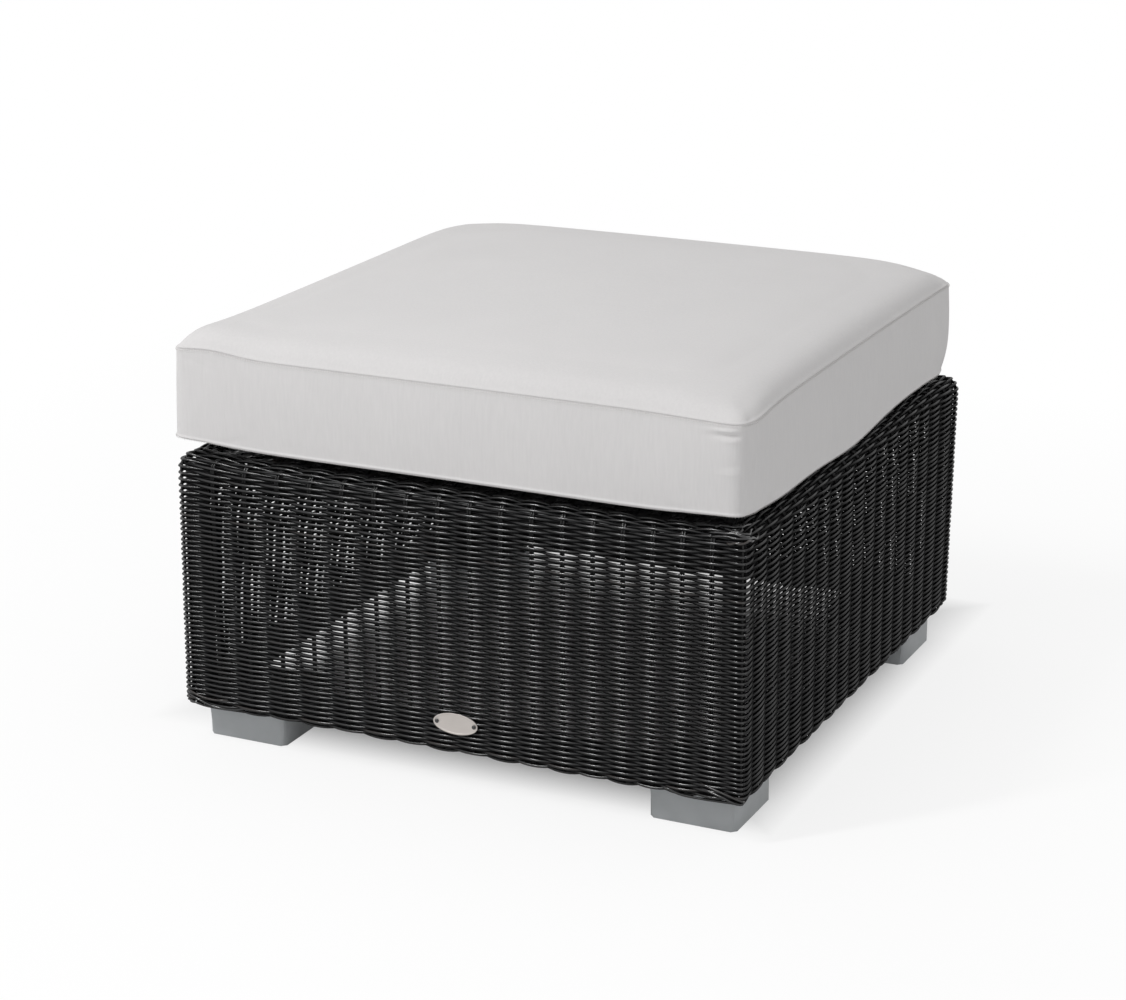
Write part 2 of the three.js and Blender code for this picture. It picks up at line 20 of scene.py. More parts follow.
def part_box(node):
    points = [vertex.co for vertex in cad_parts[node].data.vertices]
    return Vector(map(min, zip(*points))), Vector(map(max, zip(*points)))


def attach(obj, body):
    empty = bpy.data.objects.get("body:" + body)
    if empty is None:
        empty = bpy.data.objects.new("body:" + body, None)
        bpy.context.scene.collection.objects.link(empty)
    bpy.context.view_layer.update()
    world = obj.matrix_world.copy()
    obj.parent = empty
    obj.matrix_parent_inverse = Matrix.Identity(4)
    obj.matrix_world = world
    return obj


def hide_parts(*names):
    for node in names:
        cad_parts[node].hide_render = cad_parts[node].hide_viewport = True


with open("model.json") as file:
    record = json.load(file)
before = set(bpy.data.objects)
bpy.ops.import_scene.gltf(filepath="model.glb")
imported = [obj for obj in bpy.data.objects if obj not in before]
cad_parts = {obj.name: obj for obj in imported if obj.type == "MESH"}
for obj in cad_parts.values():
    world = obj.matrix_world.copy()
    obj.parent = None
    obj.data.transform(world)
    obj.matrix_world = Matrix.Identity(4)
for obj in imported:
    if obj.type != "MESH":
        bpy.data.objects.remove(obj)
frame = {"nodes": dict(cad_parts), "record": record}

log = logging.getLogger("ottoman")
Colour = tuple[float, float, float]
Point = tuple[float, float, float]


# Shader nodes


class Signal:
    """One output of a shader node. Python's operators on it add Math nodes."""

    def __init__(self, kit: "NodeKit", socket: bpy.types.NodeSocket) -> None:
        self.kit = kit
        self.socket = socket

    def _math(self, operation: str, first: "Signal | float", second: "Signal | float") -> "Signal":
        """A Math node of two values."""
        return self.kit.node("ShaderNodeMath", {"operation": operation}, {0: first, 1: second})

    def __add__(self, other: "Signal | float") -> "Signal":
        """self + other"""
        return self._math("ADD", self, other)

    __radd__ = __add__

    def __sub__(self, other: "Signal | float") -> "Signal":
        """self - other"""
        return self._math("SUBTRACT", self, other)

    def __rsub__(self, other: "Signal | float") -> "Signal":
        """other - self"""
        return self._math("SUBTRACT", other, self)

    def __mul__(self, other: "Signal | float") -> "Signal":
        """self * other"""
        return self._math("MULTIPLY", self, other)

    __rmul__ = __mul__

    def __abs__(self) -> "Signal":
        """abs(self)"""
        return self.kit.node("ShaderNodeMath", {"operation": "ABSOLUTE"}, {0: self})

    def greater(self, other: "Signal") -> "Signal":
        """The greater of the two values."""
        return self._math("MAXIMUM", self, other)

    def wave(self) -> "Signal":
        """The sine of the value, in radians."""
        return self.kit.node("ShaderNodeMath", {"operation": "SINE"}, {0: self})

    def over(self, low: float, high: float) -> "Signal":
        """0 at low, 1 at high and clamped outside them."""
        sockets = {"Value": self, "From Min": low, "From Max": high}
        return self.kit.node("ShaderNodeMapRange", {"clamp": True}, sockets)


class NodeKit:
    """Makes the nodes of one material or world."""

    def __init__(self, tree: bpy.types.NodeTree) -> None:
        """Empties the tree."""
        self.tree = tree
        tree.nodes.clear()

    def node(
        self,
        kind: str,
        settings: dict[str, object] | None = None,
        sockets: dict[str | int, object] | None = None,
        output: str | int = 0,
    ) -> Signal | None:
        """Adds a node.

        Args:
            kind: the node's type.
            settings: its properties, set first.
            sockets: a value or a Signal for each input named.
            output: the output that is wanted.

        Returns:
            The output as a Signal, or None for a node that has none.
        """
        node = self.tree.nodes.new(kind)
        for name, value in (settings or {}).items():
            setattr(node, name, value)
        for name, value in (sockets or {}).items():
            if isinstance(value, Signal):
                self.tree.links.new(value.socket, node.inputs[name])
            else:
                node.inputs[name].default_value = value
        return Signal(self, node.outputs[output]) if node.outputs else None

    def place(self) -> Signal:
        """The point in the object's own coordinates."""
        return self.node("ShaderNodeTexCoord", output="Object")

    def stretched(self, vector: Signal, scale: Point) -> Signal:
        """The point with each axis scaled."""
        return self.node("ShaderNodeMapping", None, {"Vector": vector, "Scale": scale})

    def noise(
        self, vector: Signal, scale: float, detail: float = 2.0, rough: float = 0.5
    ) -> Signal:
        """Perlin noise from 0 to 1."""
        sockets = {"Vector": vector, "Scale": scale, "Detail": detail, "Roughness": rough}
        return self.node("ShaderNodeTexNoise", None, sockets)

    def attribute(self, name: str) -> Signal:
        """A number kept on the mesh."""
        return self.node("ShaderNodeAttribute", {"attribute_name": name}, output="Fac")

    def axes(self, vector: Signal) -> tuple[Signal, Signal, Signal]:
        """The X, Y and Z parts of a vector."""
        node = self.tree.nodes.new("ShaderNodeSeparateXYZ")
        self.tree.links.new(vector.socket, node.inputs[0])
        return tuple(Signal(self, out) for out in node.outputs)

    def mix(self, share: Signal | float, first: object, second: object) -> Signal:
        """A colour between two colours."""
        first, second = ((*c, 1.0) if isinstance(c, tuple) else c for c in (first, second))
        return self.node("ShaderNodeMix", {"data_type": "RGBA"}, {0: share, 6: first, 7: second}, 2)

    def bump(self, height: Signal, depth: float, strength: float = 1.0) -> Signal:
        """A normal tilted by the height, which runs from 0 to 1 over depth metres."""
        sockets = {"Height": height, "Distance": depth, "Strength": strength}
        return self.node("ShaderNodeBump", None, sockets)

    def principled(self, sockets: dict[str | int, object]) -> Signal:
        """The main surface shader with these inputs."""
        return self.node("ShaderNodeBsdfPrincipled", None, sockets)

    def surface(self, shader: Signal) -> None:
        """Sends a shader to the material's output."""
        self.node("ShaderNodeOutputMaterial", None, {"Surface": shader})


def new_material(name: str) -> tuple[bpy.types.Material, NodeKit]:
    """An empty node material.

    Args:
        name: the finish's plain name.
    """
    material = bpy.data.materials.new(name)
    material.use_nodes = True
    return material, NodeKit(material.node_tree)


def deeper(colour: Colour, share: float) -> Colour:
    """The colour at a share of its strength."""
    return tuple(part * share for part in colour)


@dataclass(frozen=True)
class Resin:
    """Extruded resin strand: near black and glossy where it stands out, with painted shade
    elsewhere: a dull near-black surface mixed in where a strand lies deep or faces down.
    """

    name: str = "resin_strand"
    dark: Colour = (0.0050, 0.0048, 0.0054)
    light: Colour = (0.0150, 0.0145, 0.0156)
    warm: Colour = (0.028, 0.020, 0.016)
    warm_share: float = 0.93
    # The painted shade's colour, roughness and gloss.
    shade_paint: Colour = (0.0030, 0.0029, 0.0032)
    shade_paint_roughness: float = 0.9
    shade_paint_gloss: float = 0.05
    roughness: float = 0.19
    gloss: float = 0.75
    patch: float = 14.0
    grain: float = 420.0
    grain_depth: float = 0.00008

    def make(self) -> bpy.types.Material:
        """The material."""
        material, kit = new_material(self.name)
        place = kit.place()
        tone = kit.attribute("tone")
        patch = kit.noise(place, self.patch, 2.0)
        colour = kit.mix(tone * 0.6 + patch * 0.5, self.dark, self.light)
        colour = kit.mix(tone.over(self.warm_share, 1.0) * 0.7, colour, self.warm)
        grain = kit.noise(place, self.grain, 3.0, 0.6)
        sockets = {
            "Base Color": colour,
            "Roughness": grain * 0.16 + patch * 0.1 + (self.roughness - 0.13),
            "Normal": kit.bump(grain, self.grain_depth, 0.5),
            "Specular IOR Level": self.gloss,
        }
        # Painted shade: a dull near-black surface, mixed in where a strand lies deep in the weave
        # or faces down.
        dull = {
            "Base Color": (*self.shade_paint, 1),
            "Roughness": self.shade_paint_roughness,
            "Specular IOR Level": self.shade_paint_gloss,
        }
        shaders = {0: kit.attribute("painted_shade"), 1: kit.principled(sockets), 2: kit.principled(dull)}
        kit.surface(kit.node("ShaderNodeMixShader", None, shaders))
        return material


@dataclass(frozen=True)
class CoverCloth:
    """Pale outdoor cloth: plain weave with slubs that run down the sides."""

    name: str = "cover_cloth"
    colour: Colour = (0.675, 0.662, 0.660)
    shade: Colour = (0.585, 0.575, 0.575)
    thread: float = 0.0009
    slub: float = 380.0
    slub_stretch: Point = (1.0, 1.0, 0.09)
    cloud: float = 9.0
    depth: float = 0.0005

    def make(self) -> bpy.types.Material:
        """The material."""
        material, kit = new_material(self.name)
        place = kit.place()
        slub = kit.noise(kit.stretched(place, self.slub_stretch), self.slub, 3.0, 0.6)
        fleck = kit.noise(place, self.slub * 4, 2.0, 0.6)
        cloud = kit.noise(place, self.cloud, 3.0, 0.55)
        cloth = kit.node("ShaderNodeUVMap", {"uv_map": "cloth"})
        across, along, _ = kit.axes(cloth)
        turn = 2 * math.pi / self.thread
        weave = (across * turn).wave() * (along * turn).wave()
        share = slub.over(0.3, 0.72) * 0.32 + fleck * 0.28 + cloud * 0.4
        seam = kit.attribute("seam")
        worn = kit.mix(share, self.shade, self.colour)
        height = weave * 0.26 + slub * 0.4 + fleck * 0.34
        sockets = {
            "Base Color": kit.mix(seam * 0.2, worn, self.shade),
            "Roughness": fleck * 0.1 + 0.84,
            "Normal": kit.bump(height, self.depth, 0.6),
            "Sheen Weight": 0.12,
            "Sheen Roughness": 0.5,
            "Specular IOR Level": 0.25,
        }
        kit.surface(kit.principled(sockets))
        return material


@dataclass(frozen=True)
class Coated:
    """Powder coat on aluminium: a faint orange peel and a cloudy sheen."""

    name: str
    colour: Colour
    roughness: float = 0.45
    gloss: float = 0.5
    peel: float = 700.0
    peel_depth: float = 0.00012
    cloud: float = 22.0
    shade: float = 0.88

    def make(self) -> bpy.types.Material:
        """The material."""
        material, kit = new_material(self.name)
        place = kit.place()
        peel = kit.noise(place, self.peel, 2.0)
        cloud = kit.noise(place, self.cloud, 3.0, 0.6)
        shade = deeper(self.colour, self.shade)
        sockets = {
            "Base Color": kit.mix(cloud.over(0.3, 0.7), shade, self.colour),
            "Roughness": cloud * 0.12 + peel * 0.08 + (self.roughness - 0.1),
            "Normal": kit.bump(peel, self.peel_depth, 0.45),
            "Specular IOR Level": self.gloss,
        }
        kit.surface(kit.principled(sockets))
        return material


@dataclass(frozen=True)
class Brushed:
    """Bare metal with brush lines along X and dull patches."""

    name: str
    colour: Colour
    roughness: float = 0.36
    lines: Point = (40.0, 2600.0, 2600.0)
    line_depth: float = 0.00005
    patch: float = 60.0
    shade: float = 0.74

    def make(self) -> bpy.types.Material:
        """The material."""
        material, kit = new_material(self.name)
        place = kit.place()
        lines = kit.noise(kit.stretched(place, self.lines), 1.0, 3.0, 0.6)
        patch = kit.noise(place, self.patch, 3.0, 0.6)
        shade = deeper(self.colour, self.shade)
        sockets = {
            "Base Color": kit.mix(lines * 0.5 + patch * 0.5, shade, self.colour),
            "Metallic": 1.0,
            "Roughness": lines * 0.2 + patch * 0.16 + (self.roughness - 0.18),
            "Normal": kit.bump(lines, self.line_depth, 0.6),
        }
        kit.surface(kit.principled(sockets))
        return material


@dataclass(frozen=True)
class Nylon:
    """Moulded nylon with a slight grain."""

    name: str
    colour: Colour
    roughness: float = 0.42
    grain: float = 1500.0
    grain_depth: float = 0.00008
    patch: float = 35.0
    shade: float = 0.84

    def make(self) -> bpy.types.Material:
        """The material."""
        material, kit = new_material(self.name)
        place = kit.place()
        grain = kit.noise(place, self.grain, 2.0)
        patch = kit.noise(place, self.patch, 2.0)
        shade = deeper(self.colour, self.shade)
        sockets = {
            "Base Color": kit.mix(grain * 0.5 + patch * 0.5, shade, self.colour),
            "Roughness": grain * 0.15 + (self.roughness - 0.07),
            "Normal": kit.bump(grain, self.grain_depth, 0.5),
        }
        kit.surface(kit.principled(sockets))
        return material


# Modelling helpers


def deselect_all() -> None:
    """Leaves nothing selected in object mode."""
    bpy.ops.object.select_all(action="DESELECT")


def select_alone(piece: bpy.types.Object) -> None:
    """Selects the piece alone and makes it active."""
    deselect_all()
    piece.select_set(True)
    bpy.context.view_layer.objects.active = piece


def enter_edit(piece: bpy.types.Object) -> None:
    """Makes the piece active alone, in edit mode with nothing selected in it."""
    select_alone(piece)
    bpy.ops.object.mode_set(mode="EDIT")
    bpy.ops.mesh.select_all(action="DESELECT")


def leave_edit() -> None:
    """Back to object mode."""
    bpy.ops.object.mode_set(mode="OBJECT")


LEAST_FACING = 0.9
"""The least cosine between a direction and the faces that count as looking along it."""

LEAST_PARALLEL = 0.98
"""The least cosine between a direction and the edges that count as running along it."""


def pick_faces(piece: bpy.types.Object, normal: Point) -> None:
    """Selects the faces that look along a direction.

    Args:
        piece: a mesh in edit mode.
        normal: the direction.
    """
    bpy.ops.object.mode_set(mode="OBJECT")
    wanted = Vector(normal)
    for face in piece.data.polygons:
        face.select = face.normal.dot(wanted) > LEAST_FACING
    bpy.ops.object.mode_set(mode="EDIT")
    bpy.ops.mesh.select_mode(type="FACE")


def pick_edges(piece: bpy.types.Object, direction: Point) -> None:
    """Selects the edges that run along a direction, in edit mode.

    Args:
        piece: a mesh in edit mode.
        direction: the direction, either way.
    """
    bpy.ops.mesh.select_mode(type="EDGE")
    bpy.ops.mesh.select_all(action="DESELECT")
    bpy.ops.object.mode_set(mode="OBJECT")
    wanted = Vector(direction)
    points = piece.data.vertices
    for edge in piece.data.edges:
        span = (points[edge.vertices[1]].co - points[edge.vertices[0]].co).normalized()
        edge.select = abs(span.dot(wanted)) > LEAST_PARALLEL
    bpy.ops.object.mode_set(mode="EDIT")


def settle(piece: bpy.types.Object) -> bpy.types.Object:
    """Puts a finished piece's place into its mesh, so that its object is at the origin."""
    piece.data.transform(piece.matrix_basis)
    piece.matrix_basis = Matrix.Identity(4)
    return piece


def apply_all(piece: bpy.types.Object) -> None:
    """Applies the piece's modifiers in order."""
    select_alone(piece)
    for modifier in list(piece.modifiers):
        bpy.ops.object.modifier_apply(modifier=modifier.name)


def ease_edges(piece: bpy.types.Object, width: float, segments: int, angle: float) -> None:
    """Rounds the piece's sharp edges.

    Args:
        piece: a closed mesh.
        width: the rounding's width.
        segments: its steps.
        angle: the least angle of an edge that counts as sharp, in degrees.
    """
    bevel = piece.modifiers.new("edge", "BEVEL")
    bevel.width = width
    bevel.segments = segments
    bevel.limit_method = "ANGLE"
    bevel.angle_limit = math.radians(angle)
    apply_all(piece)


def thicken(piece: bpy.types.Object, thickness: float, offset: float) -> None:
    """Gives a sheet its thickness, about its middle for offset 0 and all behind it for -1."""
    solid = piece.modifiers.new("thick", "SOLIDIFY")
    solid.thickness = thickness
    solid.offset = offset
    apply_all(piece)


def smooth(piece: bpy.types.Object, angle: float | None = None) -> None:
    """Shades the piece smooth, all over or up to an angle in degrees."""
    select_alone(piece)
    if angle is None:
        bpy.ops.object.shade_smooth()
    else:
        bpy.ops.object.shade_smooth_by_angle(angle=math.radians(angle))


def joined(name: str, parts: list[bpy.types.Object]) -> bpy.types.Object:
    """Joins parts into the first of them.

    Args:
        name: the joined piece's name.
        parts: the parts, each with its own mesh.

    Returns:
        The joined piece.
    """
    deselect_all()
    for part in parts:
        part.select_set(True)
    bpy.context.view_layer.objects.active = parts[0]
    if len(parts) > 1:
        bpy.ops.object.join()
    parts[0].name = name
    return parts[0]


def own_copy(piece: bpy.types.Object, move: Matrix) -> bpy.types.Object:
    """A copy with its own mesh.

    Args:
        piece: the model.
        move: where the copy's mesh goes.

    Returns:
        The copy.
    """
    copy = piece.copy()
    copy.data = piece.data.copy()
    copy.data.transform(move)
    bpy.context.scene.collection.objects.link(copy)
    return copy


def dress(piece: bpy.types.Object, material: bpy.types.Material) -> None:
    """Gives the piece this one material."""
    piece.data.materials.clear()
    piece.data.materials.append(material)


def set_values(piece: bpy.types.Object, name: str, values: np.ndarray) -> None:
    """Keeps a number per vertex on the mesh."""
    layer = piece.data.attributes.new(name, "FLOAT", "POINT")
    layer.data.foreach_set("value", np.asarray(values, np.float32))


def points_of(piece: bpy.types.Object) -> np.ndarray:
    """The mesh's vertices as an (n, 3) array."""
    flat = np.empty(len(piece.data.vertices) * 3, np.float32)
    piece.data.vertices.foreach_get("co", flat)
    return flat.reshape(-1, 3).astype(float)


def normals_of(piece: bpy.types.Object) -> np.ndarray:
    """The normals at the mesh's vertices as an (n, 3) array."""
    flat = np.empty(len(piece.data.vertices) * 3, np.float32)
    piece.data.vertices.foreach_get("normal", flat)
    return flat.reshape(-1, 3).astype(float)


def move_points(piece: bpy.types.Object, points: np.ndarray) -> None:
    """Writes the mesh's vertices back."""
    piece.data.vertices.foreach_set("co", points.astype(np.float32).ravel())
    piece.data.update()


def ease(share: np.ndarray) -> np.ndarray:
    """A share from 0 to 1, eased at both ends."""
    share = np.clip(share, 0, 1)
    return share * share * (3 - 2 * share)


def softened(points: np.ndarray) -> np.ndarray:
    """A line of points with its corners cut twice over."""
    for _ in range(2):
        first, last = points[:1], points[-1:]
        before, after = points[:-1], points[1:]
        cut = np.stack([before * 0.75 + after * 0.25, before * 0.25 + after * 0.75], axis=1)
        points = np.vstack([first, cut.reshape(-1, points.shape[1])[1:-1], last])
    return points


STRAND_SIDES = 6
CAP_POINTS = 2 * STRAND_SIDES
MERGE_DISTANCE = 1e-6

# Painted shade on the resin strands, set by depth in the weave and by a downward-facing normal.
PAINTED_SHADE_FROM = 0.0040
# How far out from the weave's middle a strand is free of painted shade.
"""How far out from the weave's middle a strand is free of dust."""

PAINTED_SHADE_DEPTH = 150.0
# The share of painted shade gained for each metre further in.
"""The share of dust gained for each metre further in."""

PAINTED_SHADE_TILT = 0.5
# The upward part of the normal above which no painted shade is added.
"""The upward part of the normal above which no dust shade is added."""

PAINTED_SHADE_UNDER = 0.75
# The share of painted shade gained as the normal turns down from there.
"""The share of dust gained as the normal turns down from there."""

MOST_PAINTED_SHADE = 0.96


def bundle(
    name: str,
    paths: list[np.ndarray],
    radii: list[float],
    tones: list[float],
    outward: list[np.ndarray] | None = None,
    shade_paint: float = 0.0,
) -> bpy.types.Object:
    """Round strands as one closed mesh, made as one curve and converted.

    Args:
        name: the piece's name.
        paths: the points of each strand's middle line.
        radii: each strand's radius.
        tones: each strand's shade, from 0 to 1.
        outward: for each point of each strand its distance out from the weave's middle, then the
            way out.
        shade_paint: the least share of painted shade.

    Returns:
        The piece, with the attribute "tone", and with "painted_shade", the share of painted shade,
        where the way out is given.
    """
    deselect_all()
    bpy.ops.curve.primitive_nurbs_path_add()
    piece = bpy.context.active_object
    piece.name = name
    curve = piece.data
    curve.splines.clear()
    for path, radius in zip(paths, radii):
        spline = curve.splines.new("POLY")
        spline.points.add(len(path) - 1)
        spline.points.foreach_set("co", np.c_[path, np.ones(len(path))].ravel())
        spline.points.foreach_set("radius", np.full(len(path), radius * 1000))
    curve.bevel_depth = 0.001
    curve.bevel_resolution = 1
    curve.use_fill_caps = True
    bpy.ops.object.convert(target="MESH")
    caps = np.repeat(tones[::-1], CAP_POINTS)
    walls = np.repeat(tones, [STRAND_SIDES * len(path) for path in paths])
    set_values(piece, "tone", np.r_[caps, walls])
    if outward:
        middle, away = np.repeat(np.vstack(paths), STRAND_SIDES, axis=0), np.vstack(outward)
        away = np.repeat(away, STRAND_SIDES, axis=0)
        ring = points_of(piece)[len(caps) :] - middle
        size = np.linalg.norm(ring, axis=1)
        depth = away[:, 0] + np.sum(ring * away[:, 1:], axis=1)
        # Painted shade: darker the deeper a point lies in the weave and the more its normal faces
        # down.
        shade_share = shade_paint + PAINTED_SHADE_DEPTH * np.maximum(PAINTED_SHADE_FROM - depth, 0)
        shade_share = shade_share + PAINTED_SHADE_UNDER * np.maximum(PAINTED_SHADE_TILT - ring[:, 2] / size, 0)
        shade_share = np.clip(shade_share, 0, MOST_PAINTED_SHADE)
        set_values(piece, "painted_shade", np.r_[np.zeros(len(caps)), shade_share])
    bpy.ops.object.mode_set(mode="EDIT")
    bpy.ops.mesh.select_all(action="SELECT")
    bpy.ops.mesh.remove_doubles(threshold=MERGE_DISTANCE)
    bpy.ops.object.mode_set(mode="OBJECT")
    bpy.ops.object.shade_smooth()
    return piece


# The woven base


class Wall(Enum):
    """The woven walls, each a quarter turn on from the one before, and how their stakes are spread.

    The value holds the turn, the middle stake's place, the spread's slope and bend, and the
    strand's radius, in millimetres, then the least share of painted shade on its strands, which
    is most on the right wall to darken it as shade.
    """

    FRONT = (0, 27.0, 38.1, -0.347, 1.64, 0.0)
    RIGHT = (1, 0.0, 38.0, 0.0, 1.72, 0.36)
    BACK = (2, 0.0, 38.0, 0.0, 1.76, 0.1)
    LEFT = (3, 0.0, 38.0, 0.0, 1.62, 0.1)


class WeaveCorner(Enum):
    """The weave's corners, each where a wall meets the next one, and how each is off the square.

    The value holds the lift of the rim, the lift of the foot, and how far rim and foot stand out,
    in millimetres.
    """

    FRONT_RIGHT = (3.5, 4.0, 3.0, 7.5)
    BACK_RIGHT = (-1.5, 0.0, 4.5, -1.0)
    BACK_LEFT = (0.0, 0.0, 0.0, 0.0)
    FRONT_LEFT = (3.5, 1.0, -4.0, -1.0)


LOOSE_ENDS = (
    ((299, 62.5, 1), (311, 59, 3), (327, 55, 4), (341, 51, 4), (348, 47, 1)),
    ((300, 57, 1), (316, 53, 4), (333, 49, 5), (345, 47, 4), (349, 45, 1)),
    ((256, 52, 2), (274, 48, 4), (291, 46.5, 4), (316, 44.5, 4), (340, 45.5, 3)),
    ((-345, 56, 2), (-325, 50, 4), (-300, 47, 4), (-278, 48, 3), (-262, 52, 1)),
    ((-343, 50, 3), (-322, 46, 4), (-298, 44, 4), (-270, 45, 2)),
    ((-344, 61, 1), (-330, 56, 4), (-306, 54, 4), (-290, 57, 1)),
)
"""Strand ends come loose along the front wall's foot: place, height and stand-off, in mm."""


@dataclass
class WovenWalls:
    """Round strands woven over paired stakes, rolled over the top rail and tucked in below."""

    half: float = 0.350
    thickness: float = 0.008
    bend: float = 0.0208
    corner: float = 0.009
    corner_reach: float = 0.055
    corner_share: float = 0.7
    rim_band: float = 0.12
    foot_band: float = 0.15
    rim_wrap: float = math.radians(40)
    bottom: float = 0.0423
    fold: float = 0.0042
    underlap: float = 0.025
    stakes: int = 17
    strand: float = 0.00153
    stake: float = 0.00140
    stake_half_gap: float = 0.00143
    tightness: float = 0.9
    loose: float = 0.00145
    rim_rows: float = 0.00345
    upper_rows: float = 0.00335
    upper_depth: float = 0.045
    lower_rows: float = 0.00302
    steps: int = 6
    corner_steps: int = 8
    crossings: int = 7
    crossing_reach: tuple[float, float] = (0.012, 0.040)
    crossing_band: tuple[float, float] = (0.30, 0.90)
    crossing_wander: float = 0.0012
    crossing_stand: float = 0.0025
    fullness: float = 0.22
    sway_sizes: tuple[float, float] = (0.00042, 0.00012)
    swing_sizes: tuple[float, float] = (0.05, 0.05)
    swell_rows: int = 7
    swell_stakes: int = 3
    strand_scatter: float = 0.02
    stake_tone: float = 0.75
    seed: int = 11

    def __post_init__(self) -> None:
        """Works out the section's lengths and the weave's small irregularities."""
        self.rim_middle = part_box("wicker_front")[1].z - self.bend
        self.middle = self.thickness / 2
        self.roll = self.bend - self.middle
        self.corner_roll = self.corner - self.middle
        self.straight = self.half - self.corner
        self.corner_at = self.straight + self.corner_roll * math.pi / 4
        self.rim_run = self.roll * (math.pi / 2 + self.rim_wrap)
        self.wall_run = self.rim_middle - self.bottom - self.middle - self.fold
        self.fold_run = self.fold * math.pi / 2
        self.tuck_run = self.underlap - self.middle - self.fold
        self.run = self.rim_run + self.wall_run + self.fold_run + self.tuck_run
        self.round = 4 * (self.stakes + 1)
        self.draw = np.random.default_rng(self.seed)
        self.rows = self.row_places()
        self.sway = self.uneven(*self.sway_sizes)
        self.swing = 1 + self.uneven(*self.swing_sizes)

    def row_places(self) -> np.ndarray:
        """Where each row lies along the section, from inside the rim down."""
        places = [self.strand]
        while places[-1] < self.run - self.strand:
            run = places[-1]
            upper = run < self.rim_run + self.upper_depth
            wall_rows = self.upper_rows if upper else self.lower_rows
            step = self.rim_rows if run < self.rim_run else wall_rows
            places.append(run + step)
        return np.array(places[:-1])

    def uneven(self, broad: float, fine: float) -> np.ndarray:
        """A value for each row at each stake: broad swells plus a fine scatter.

        Args:
            broad: the size of the swells.
            fine: the size of the scatter.

        Returns:
            An array of rows by stakes that closes round the base.
        """
        rows = len(self.rows)
        count = rows // self.swell_rows + 3, self.round // self.swell_stakes
        knots = self.draw.normal(0, broad, count)
        down = np.arange(rows) / self.swell_rows
        about = np.arange(self.round) / self.swell_stakes
        low, left = down.astype(int), about.astype(int)
        fall, lean = ease(down - low)[:, None], ease(about - left)[None, :]
        right = (left + 1) % knots.shape[1]
        top = knots[low][:, left] * (1 - lean) + knots[low][:, right] * lean
        foot = knots[low + 1][:, left] * (1 - lean) + knots[low + 1][:, right] * lean
        return top * (1 - fall) + foot * fall + self.draw.normal(0, fine, (rows, self.round))

    def section(self, run: np.ndarray) -> tuple[np.ndarray, np.ndarray, np.ndarray, np.ndarray]:
        """The middle of the woven skin, seen in section.

        Args:
            run: lengths along it, from inside the rim.

        Returns:
            How far in from the outer face, how high, and the normal's inward and upward parts.
        """
        turn = (math.pi / 2 - self.rim_wrap) + np.clip(run, 0, self.rim_run) / self.roll
        down = np.clip(run - self.rim_run, 0, self.wall_run)
        dip = math.pi + np.clip(run - self.rim_run - self.wall_run, 0, self.fold_run) / self.fold
        tuck = np.maximum(run - self.rim_run - self.wall_run - self.fold_run, 0)
        rolled = run < self.rim_run
        inset = np.where(
            rolled,
            self.bend + self.roll * np.cos(turn),
            self.middle + self.fold + self.fold * np.cos(dip) + tuck,
        )
        height = np.where(
            rolled,
            self.rim_middle + self.roll * np.sin(turn),
            self.rim_middle - down + self.fold * np.sin(dip),
        )
        normal_in = np.where(rolled, np.cos(turn), np.cos(dip))
        normal_up = np.where(rolled, np.sin(turn), np.sin(dip))
        return inset, height, normal_in, normal_up

    def stake_places(self, wall: Wall) -> np.ndarray:
        """Where the wall's stakes stand along it, the two corner stakes among them."""
        _, middle, slope, bend, *_ = wall.value
        count = np.arange(self.stakes) - self.stakes // 2
        inner = (middle + slope * count + bend * count**2) / 1000
        return np.r_[-self.corner_at, inner, self.corner_at]

    def give(
        self, wall: Wall, along: np.ndarray, run: np.ndarray
    ) -> tuple[np.ndarray, np.ndarray, np.ndarray]:
        """How the corners of the weave stand off the square there.

        Args:
            wall: the wall.
            along: places along it, from its middle.
            run: places down its section.

        Returns:
            How far the points move along the wall, out from it and up.
        """
        down = np.clip((run - self.rim_run) / self.wall_run, 0, 1)
        corners = list(WeaveCorner)
        aside, out, lift = np.zeros(len(run)), np.zeros(len(run)), np.zeros(len(run))
        for end, corner in ((1, corners[wall.value[0]]), (-1, corners[wall.value[0] - 1])):
            rim_lift, foot_lift, rim_out, foot_out = np.array(corner.value) / 1000
            near = np.exp(-(((self.corner_at - end * along) / self.corner_reach) ** 2))
            rim = 1 - ease(down / self.rim_band)
            foot = ease((down - 1 + self.foot_band) / self.foot_band)
            lift += near * (rim_lift * rim + foot_lift * foot)
            stand = near * (rim_out * (1 - down) + foot_out * down)
            aside += end * stand
            out += stand
        return aside, out, lift

    def place(self, wall: Wall, along: np.ndarray, run: np.ndarray, out: np.ndarray) -> np.ndarray:
        """Points on the wall.

        Args:
            wall: the wall.
            along: places along it, from its middle.
            run: places down its section.
            out: distances out from the skin's middle.

        Returns:
            The points, (n, 3).
        """
        inset, height, normal_in, normal_up = self.section(run)
        side = np.minimum(self.straight, self.half - inset)
        radius = np.maximum(self.corner - inset, 0)
        angle = np.maximum(np.abs(along) - self.straight, 0) / self.corner_roll
        shift = -normal_in * out
        x = np.minimum(np.abs(along), self.straight) / self.straight * side
        aside, stand, lift = self.give(wall, along, run)
        x = np.sign(along) * (x + (radius + shift) * np.sin(angle)) + aside * self.corner_share
        y = -(side + (radius + shift) * np.cos(angle)) - stand * self.corner_share
        quarter = wall.value[0] * math.pi / 2
        cos, sin = math.cos(quarter), math.sin(quarter)
        return np.c_[x * cos - y * sin, x * sin + y * cos, height + normal_up * out + lift]

